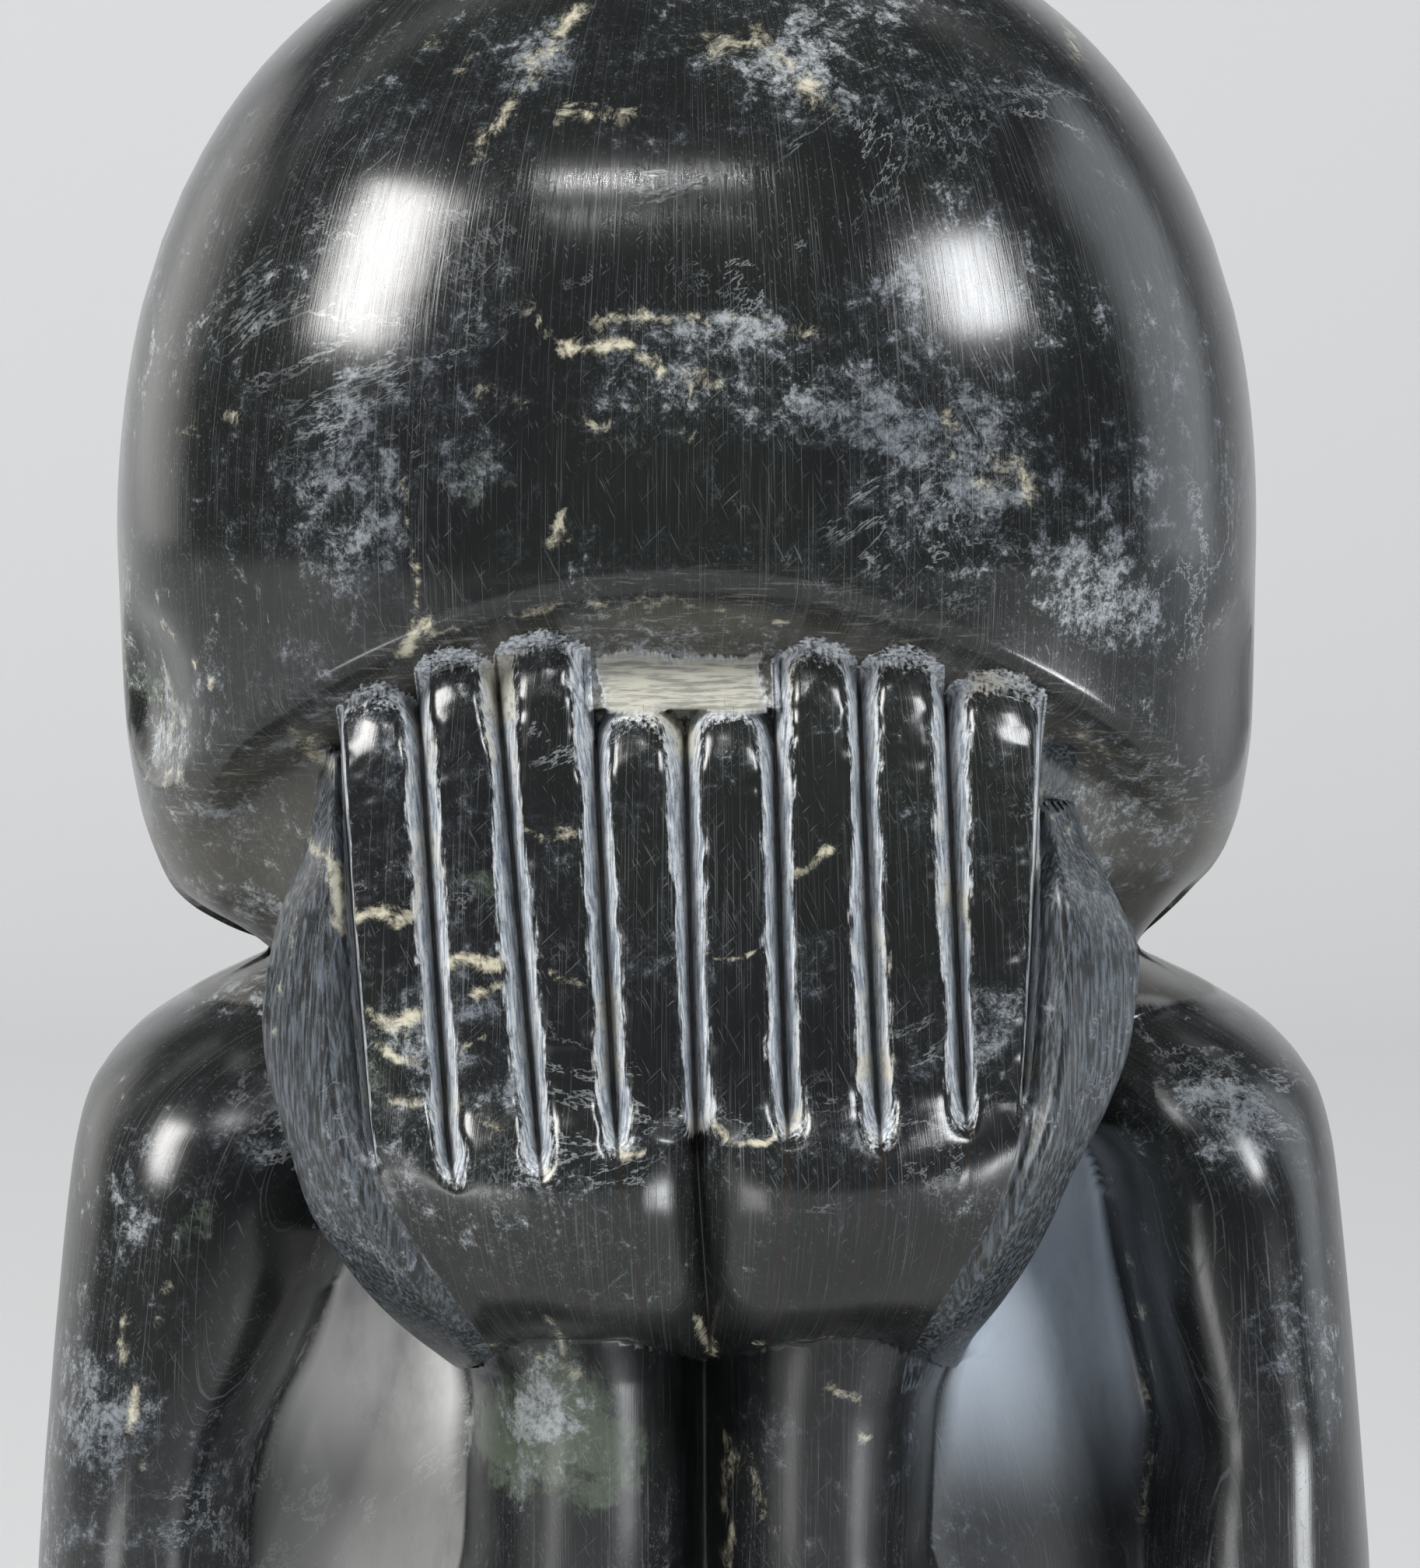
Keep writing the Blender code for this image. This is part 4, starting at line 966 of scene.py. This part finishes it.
def scratch_group():
    """Hair scratches from polishing: long thin streaks towards the crown, and two tilted sets."""
    g, given, end = group("Polish Scratches", ("Vector", "Spun"), ("Mask", "Height"))
    vector = given["Vector"]
    where = g.noise(vector, 70.0, 3.0, 0.6)
    rising = g.streaks(given["Spun"], (13000.0, 13000.0, 85.0), 2.0, 0.6)
    tilted = g.streaks(vector, (7000.0, 3500.0, 160.0), 1.0, 0.6, 0.45)
    crossed = g.streaks(vector, (6000.0, 3000.0, 150.0), 1.0, 0.6, -0.8)
    mask = g.between(g.times(where, 0.20, rising), 0.68, 0.82)
    mask = g.maths("MAXIMUM", mask, g.between(g.times(where, 0.20, tilted), 0.76, 0.86))
    mask = g.maths("MAXIMUM", mask, g.between(g.times(where, 0.16, crossed), 0.77, 0.86))
    g.fill(end.inputs["Mask"], mask)
    g.fill(end.inputs["Height"], rising)
    return g.tree


def patch_group():
    """A listed mark that thins into fibres and crumbs. Closeness is 1 on the mark and 0 at its rim."""
    g, given, end = group("Broken Mark", ("Vector", "Closeness", "Break"), ("Mask",))
    ragged = g.maths("SUBTRACT", g.noise(given["Vector"], 420.0, 9.0, 0.80, 0.5), 0.52)
    total = g.times(ragged, given["Break"], given["Closeness"])
    present = g.between(given["Closeness"], 0.0, 0.3)
    g.fill(end.inputs["Mask"], g.times(g.between(total, 0.30, 1.05), present))
    return g.tree


def vein_group():
    """Thin pale wisps: the lines where a warped noise crosses its middle value, broken by slow noise."""
    g, given, end = group("Stone Veins", ("Vector",), ("Mask",))
    warped = g.noise(g.stretched(given["Vector"], (1.0, 1.0, 1.5), 0.4), 34.0, 7.0, 0.70, 0.5)
    line = g.maths("ABSOLUTE", g.maths("SUBTRACT", warped, 0.5))
    thin = g.maths("SUBTRACT", 1.0, g.between(line, 0.0, 0.009))
    where = g.between(g.noise(given["Vector"], 42.0, 4.0, 0.6), 0.50, 0.64)
    g.fill(end.inputs["Mask"], g.times(thin, where))
    return g.tree


def serpentine_material(polish):
    """Near-black green serpentine: polished dark fronts, pale ground grooves, haze, veins and scratches."""
    mat = bpy.data.materials.new("serpentine")
    mat.use_nodes = True
    mat.node_tree.nodes.clear()
    g = Shader(mat.node_tree)

    def mark(name, output="Fac"):
        """One of the skin's own point attributes."""
        return g.node("Attribute", {"attribute_name": name}).outputs[output]

    def placed(name, broken):
        """Mask of the listed marks of that name."""
        return used(breaker, Closeness=mark(name), Break=broken)["Mask"]

    def used(tree, **inputs):
        """The outputs of a group that is run at this place."""
        return g.node("Group", {"node_tree": tree}, Vector=where, **inputs).outputs

    where = g.node("TexCoord").outputs["Object"]
    wall, satin, chest, under, ledge = (mark(name) for name in ("wall", "satin", "chest", "under", "ledge"))
    breaker = patch_group()
    green = placed("green", 3.4)
    crowd = g.total(0.0, (-1.5, mark("dark")), (0.9, mark("haze")), (-1.2, chest), (0.4, under),
                    (-0.2, satin), (0.55, green))
    speckle = used(speckle_group(), Density=crowd)
    scratch = used(scratch_group(), Spun=mark("spun", "Vector"))
    veins = used(vein_group())["Mask"]

    slow = g.noise(where, 24.0, 4.0, 0.55)
    crumbs = g.mixed(g.between(slow, 0.40, 0.62), BLUE_HAZE, PALE_CRYSTAL)
    side = g.node("SeparateXYZ", None, Vector=where).outputs["X"]
    # Painted sheen on the chest's pale ground: grey on the left, blue on the right, in streaky strength.
    chest_ground_and_sheen = g.mixed(g.between(side, -0.01, 0.01), CHEST_GROUND_AND_SHEEN_LEFT, CHEST_GROUND_AND_SHEEN_RIGHT)
    ground_and_sheen_share = g.times(g.between(g.streaks(where, (120.0, 120.0, 40.0), 5.0, 0.6), 0.25, 0.55), 0.4, 0.58)

    fibre = g.streaks(where, (2600.0, 2600.0, 260.0), 3.0, 0.65)
    brushed = g.streaks(where, (260.0, 260.0, 3000.0), 3.0, 0.65)
    rubbed = g.total(0.0, (0.5, g.noise(where, 420.0, 4.0, 0.7)), (0.55, fibre))
    pale = g.mixed(g.between(fibre, 0.36, 0.62), WALL_BLUE, WALL_PALE)
    pale = g.mixed(g.between(g.noise(where, 130.0, 3.0, 0.6), 0.54, 0.70), pale, WALL_CREAM)
    pale = g.layered(pale, (0.55, g.between(g.noise(where, 900.0, 5.0, 0.8), 0.50, 0.64), SMOKE))
    pale = g.mixed(ledge, pale, g.mixed(g.between(brushed, 0.38, 0.58), LEDGE_SHADE, LEDGE_CREAM))
    walls = g.between(g.times(g.maths("SUBTRACT", rubbed, 0.52), 1.5, wall), 0.10, 0.40)
    walls = g.times(walls, g.between(wall, 0.0, 0.06))
    streaks = g.times(mark("band"), g.between(brushed, 0.56, 0.72))
    dust = g.times(mark("filed"), g.between(fibre, 0.42, 0.66))
    # Painted shade: dark brown along the bottom of each groove.
    crack = g.maths("SUBTRACT", 1.0, g.between(g.maths("ABSOLUTE", mark("groove")), 0.10, 0.30))

    base = g.mixed(g.between(slow, 0.35, 0.7), DARK_STONE, GREEN_BLACK)
    # The chest layer here is pale ground carrying painted sheen.
    base = g.layered(base, (0.55, speckle["Haze"], SMOKE), (0.7, green, OLIVE), (0.22, under, CHEEK_BROWN),
                     (0.9, speckle["Mask"], crumbs), (0.13, scratch["Mask"], PALE_CRYSTAL),
                     (0.4, veins, PALE_CRYSTAL), (0.8, placed("cream", 3.2), CREAM), (ground_and_sheen_share, chest, chest_ground_and_sheen),
                     (0.92, walls, pale), (0.28, streaks, WALL_CREAM), (0.38, dust, WALL_BLUE),
                     (0.8, crack, GROOVE_SHADE_BROWN))
    rough = g.total(polish, (0.36, satin), (0.08, mark("soft")), (0.34, walls), (0.14, scratch["Mask"]),
                    (0.12, speckle["Mask"]))
    height = g.total(0.0, (0.12, scratch["Height"]), (1.2, g.times(rubbed, walls)),
                     (0.35, g.times(rubbed, satin)))
    bump = g.node("Bump", None, Strength=0.5, Distance=0.00016, Height=height).outputs["Normal"]
    shader = g.node("BsdfPrincipled", None, Base_Color=base, Roughness=rough, IOR=1.5, Normal=bump)
    g.fill(g.node("OutputMaterial").inputs["Surface"], shader.outputs["BSDF"])
    return mat


def paper_material():
    """Plain pale studio paper."""
    mat = bpy.data.materials.new("studio_paper")
    mat.use_nodes = True
    shader = mat.node_tree.nodes["Principled BSDF"]
    shader.inputs["Base Color"].default_value = PAPER
    shader.inputs["Roughness"].default_value = 0.9
    shader.inputs["Specular IOR Level"].default_value = 0.1
    return mat


def sweep_mesh():
    """Studio sweep: a level floor that turns up through a quarter circle into a wall.

    Across is a straight run, and along is the floor, then the arc by its angle, then the wall.
    """
    angle = np.linspace(0.0, 0.5 * np.pi, SWEEP_STEPS)
    y = np.concatenate([[SWEEP_NEAR], SWEEP_FAR + SWEEP_BEND * np.sin(angle), [SWEEP_FAR + SWEEP_BEND]])
    z = np.concatenate([[0.0], SWEEP_BEND * (1 - np.cos(angle)), [SWEEP_TALL]])
    x = np.linspace(-0.5 * SWEEP_WIDE, 0.5 * SWEEP_WIDE, 9)
    grid_x, grid_y = np.meshgrid(x, y)
    verts = np.stack([grid_x, grid_y, np.broadcast_to(z[:, None], grid_x.shape)], axis=-1).reshape(-1, 3)
    mesh = bpy.data.meshes.new("studio_sweep")
    mesh.from_pydata(verts.tolist(), [], grid_faces(len(y), len(x), len(x) - 1).tolist())
    mesh.polygons.foreach_set("use_smooth", np.ones(len(mesh.polygons), bool))
    mesh.update()
    return mesh


def link(name, data):
    """New object in the scene's collection."""
    made = bpy.data.objects.new(name, data)
    bpy.context.scene.collection.objects.link(made)
    return made


def soft_light(name, size, place, aim, power, colour):
    """A rectangular soft box at place that faces aim."""
    lamp = bpy.data.lights.new(name, "AREA")
    lamp.shape = "RECTANGLE"
    lamp.size, lamp.size_y = size
    lamp.energy = power
    lamp.color = colour
    made = link(name, lamp)
    made.location = place
    made.rotation_euler = (Vector(aim) - Vector(place)).to_track_quat("-Z", "Y").to_euler()
    return made


class StoneFigureSettings(bpy.types.PropertyGroup):
    """Sizes and finish of the carved stone."""

    row_gap: bpy.props.FloatProperty(
        name="Row gap", description="Height between the mesh rows over the hands and face, in metres",
        default=0.00045, min=0.0002, unit="LENGTH")
    relief: bpy.props.FloatProperty(
        name="Tool marks", description="Depth of the chisel and file marks, 1 as on the stone",
        default=1.0, min=0.0, subtype="FACTOR")
    polish: bpy.props.FloatProperty(
        name="Polish", description="Roughness of the polished stone", default=0.14, min=0.0, max=1.0,
        subtype="FACTOR")


class StageSettings(bpy.types.PropertyGroup):
    """Camera and light of the plain pale stage."""

    camera_distance: bpy.props.FloatProperty(
        name="Camera distance", description="From the camera to the middle of the view",
        default=0.8, unit="LENGTH")
    camera_rise: bpy.props.FloatProperty(
        name="Camera rise", description="How far above level the camera stands", default=math.radians(4.0),
        subtype="ANGLE")
    view_width: bpy.props.FloatProperty(
        name="View width", description="Width of the picture at the middle of the view",
        default=0.13833, unit="LENGTH")
    key_power: bpy.props.FloatProperty(
        name="Light power", description="Power that the soft boxes share out", default=1.0, min=0.0)


class STONE_OT_figure(bpy.types.Operator):
    """Carves the stone figure and gives it the serpentine finish."""

    bl_idname = "stone.figure"
    bl_label = "Stone Figure"

    def execute(self, context):
        sizes = context.scene.stone_figure_settings
        figure = link("carved_stone", stone_mesh(sizes.row_gap * 1000.0, sizes.relief))
        if not figure.data.polygons:
            raise RuntimeError("the carved skin has no faces")
        figure.data.materials.append(serpentine_material(sizes.polish))
        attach(figure, "root")
        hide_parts(NODE)
        return {"FINISHED"}


class STONE_OT_stage(bpy.types.Operator):
    """Builds the pale studio sweep, the soft lights and the camera."""

    bl_idname = "stone.stage"
    bl_label = "Studio Stage"

    def execute(self, context):
        stage = context.scene.stone_stage_settings
        scene = context.scene
        floor = link("studio_floor", sweep_mesh())
        floor.data.materials.append(paper_material())
        for name, size, place, aim, power, colour in LIGHTS:
            soft_light(name, size, place, aim, power * stage.key_power, colour)
        world = bpy.data.worlds.new("studio_air")
        world.use_nodes = True
        world.node_tree.nodes["Background"].inputs["Color"].default_value = AIR
        world.node_tree.nodes["Background"].inputs["Strength"].default_value = 1.0
        scene.world = world
        camera = link("camera", bpy.data.cameras.new("camera"))
        camera.data.sensor_fit = "HORIZONTAL"
        camera.data.sensor_width = SENSOR
        camera.data.lens = SENSOR * stage.camera_distance / stage.view_width
        camera.data.clip_start = 0.01
        camera.rotation_euler = (0.5 * math.pi - stage.camera_rise, 0.0, 0.0)
        back = Vector((0.0, math.cos(stage.camera_rise), -math.sin(stage.camera_rise)))
        camera.location = Vector(VIEW_MIDDLE) - back * stage.camera_distance
        scene.camera = camera
        scene.view_settings.view_transform = "Standard"
        if scene.camera is None:
            raise RuntimeError("the stage has no camera")
        return {"FINISHED"}


class STONE_PT_panel(bpy.types.Panel):
    """Lists the settings and the steps."""

    bl_label = "Stone Figure"
    bl_idname = "STONE_PT_panel"
    bl_space_type = "VIEW_3D"
    bl_region_type = "UI"
    bl_category = "Stone Figure"

    def draw(self, context):
        layout = self.layout
        for settings in (context.scene.stone_figure_settings, context.scene.stone_stage_settings):
            for name in settings.__annotations__:
                layout.prop(settings, name)
        layout.operator("stone.figure")
        layout.operator("stone.stage")


CLASSES = (StoneFigureSettings, StageSettings, STONE_OT_figure, STONE_OT_stage, STONE_PT_panel)


def register():
    """Adds the settings, the steps and the panel."""
    for made in CLASSES:
        bpy.utils.register_class(made)
    bpy.types.Scene.stone_figure_settings = bpy.props.PointerProperty(type=StoneFigureSettings)
    bpy.types.Scene.stone_stage_settings = bpy.props.PointerProperty(type=StageSettings)


def unregister():
    """Takes them away again."""
    del bpy.types.Scene.stone_stage_settings
    del bpy.types.Scene.stone_figure_settings
    for made in reversed(CLASSES):
        bpy.utils.unregister_class(made)


def main():
    """Builds the figure and the stage."""
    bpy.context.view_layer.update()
    register()
    bpy.ops.stone.figure()
    bpy.ops.stone.stage()


if __name__ == "__main__":
    main()
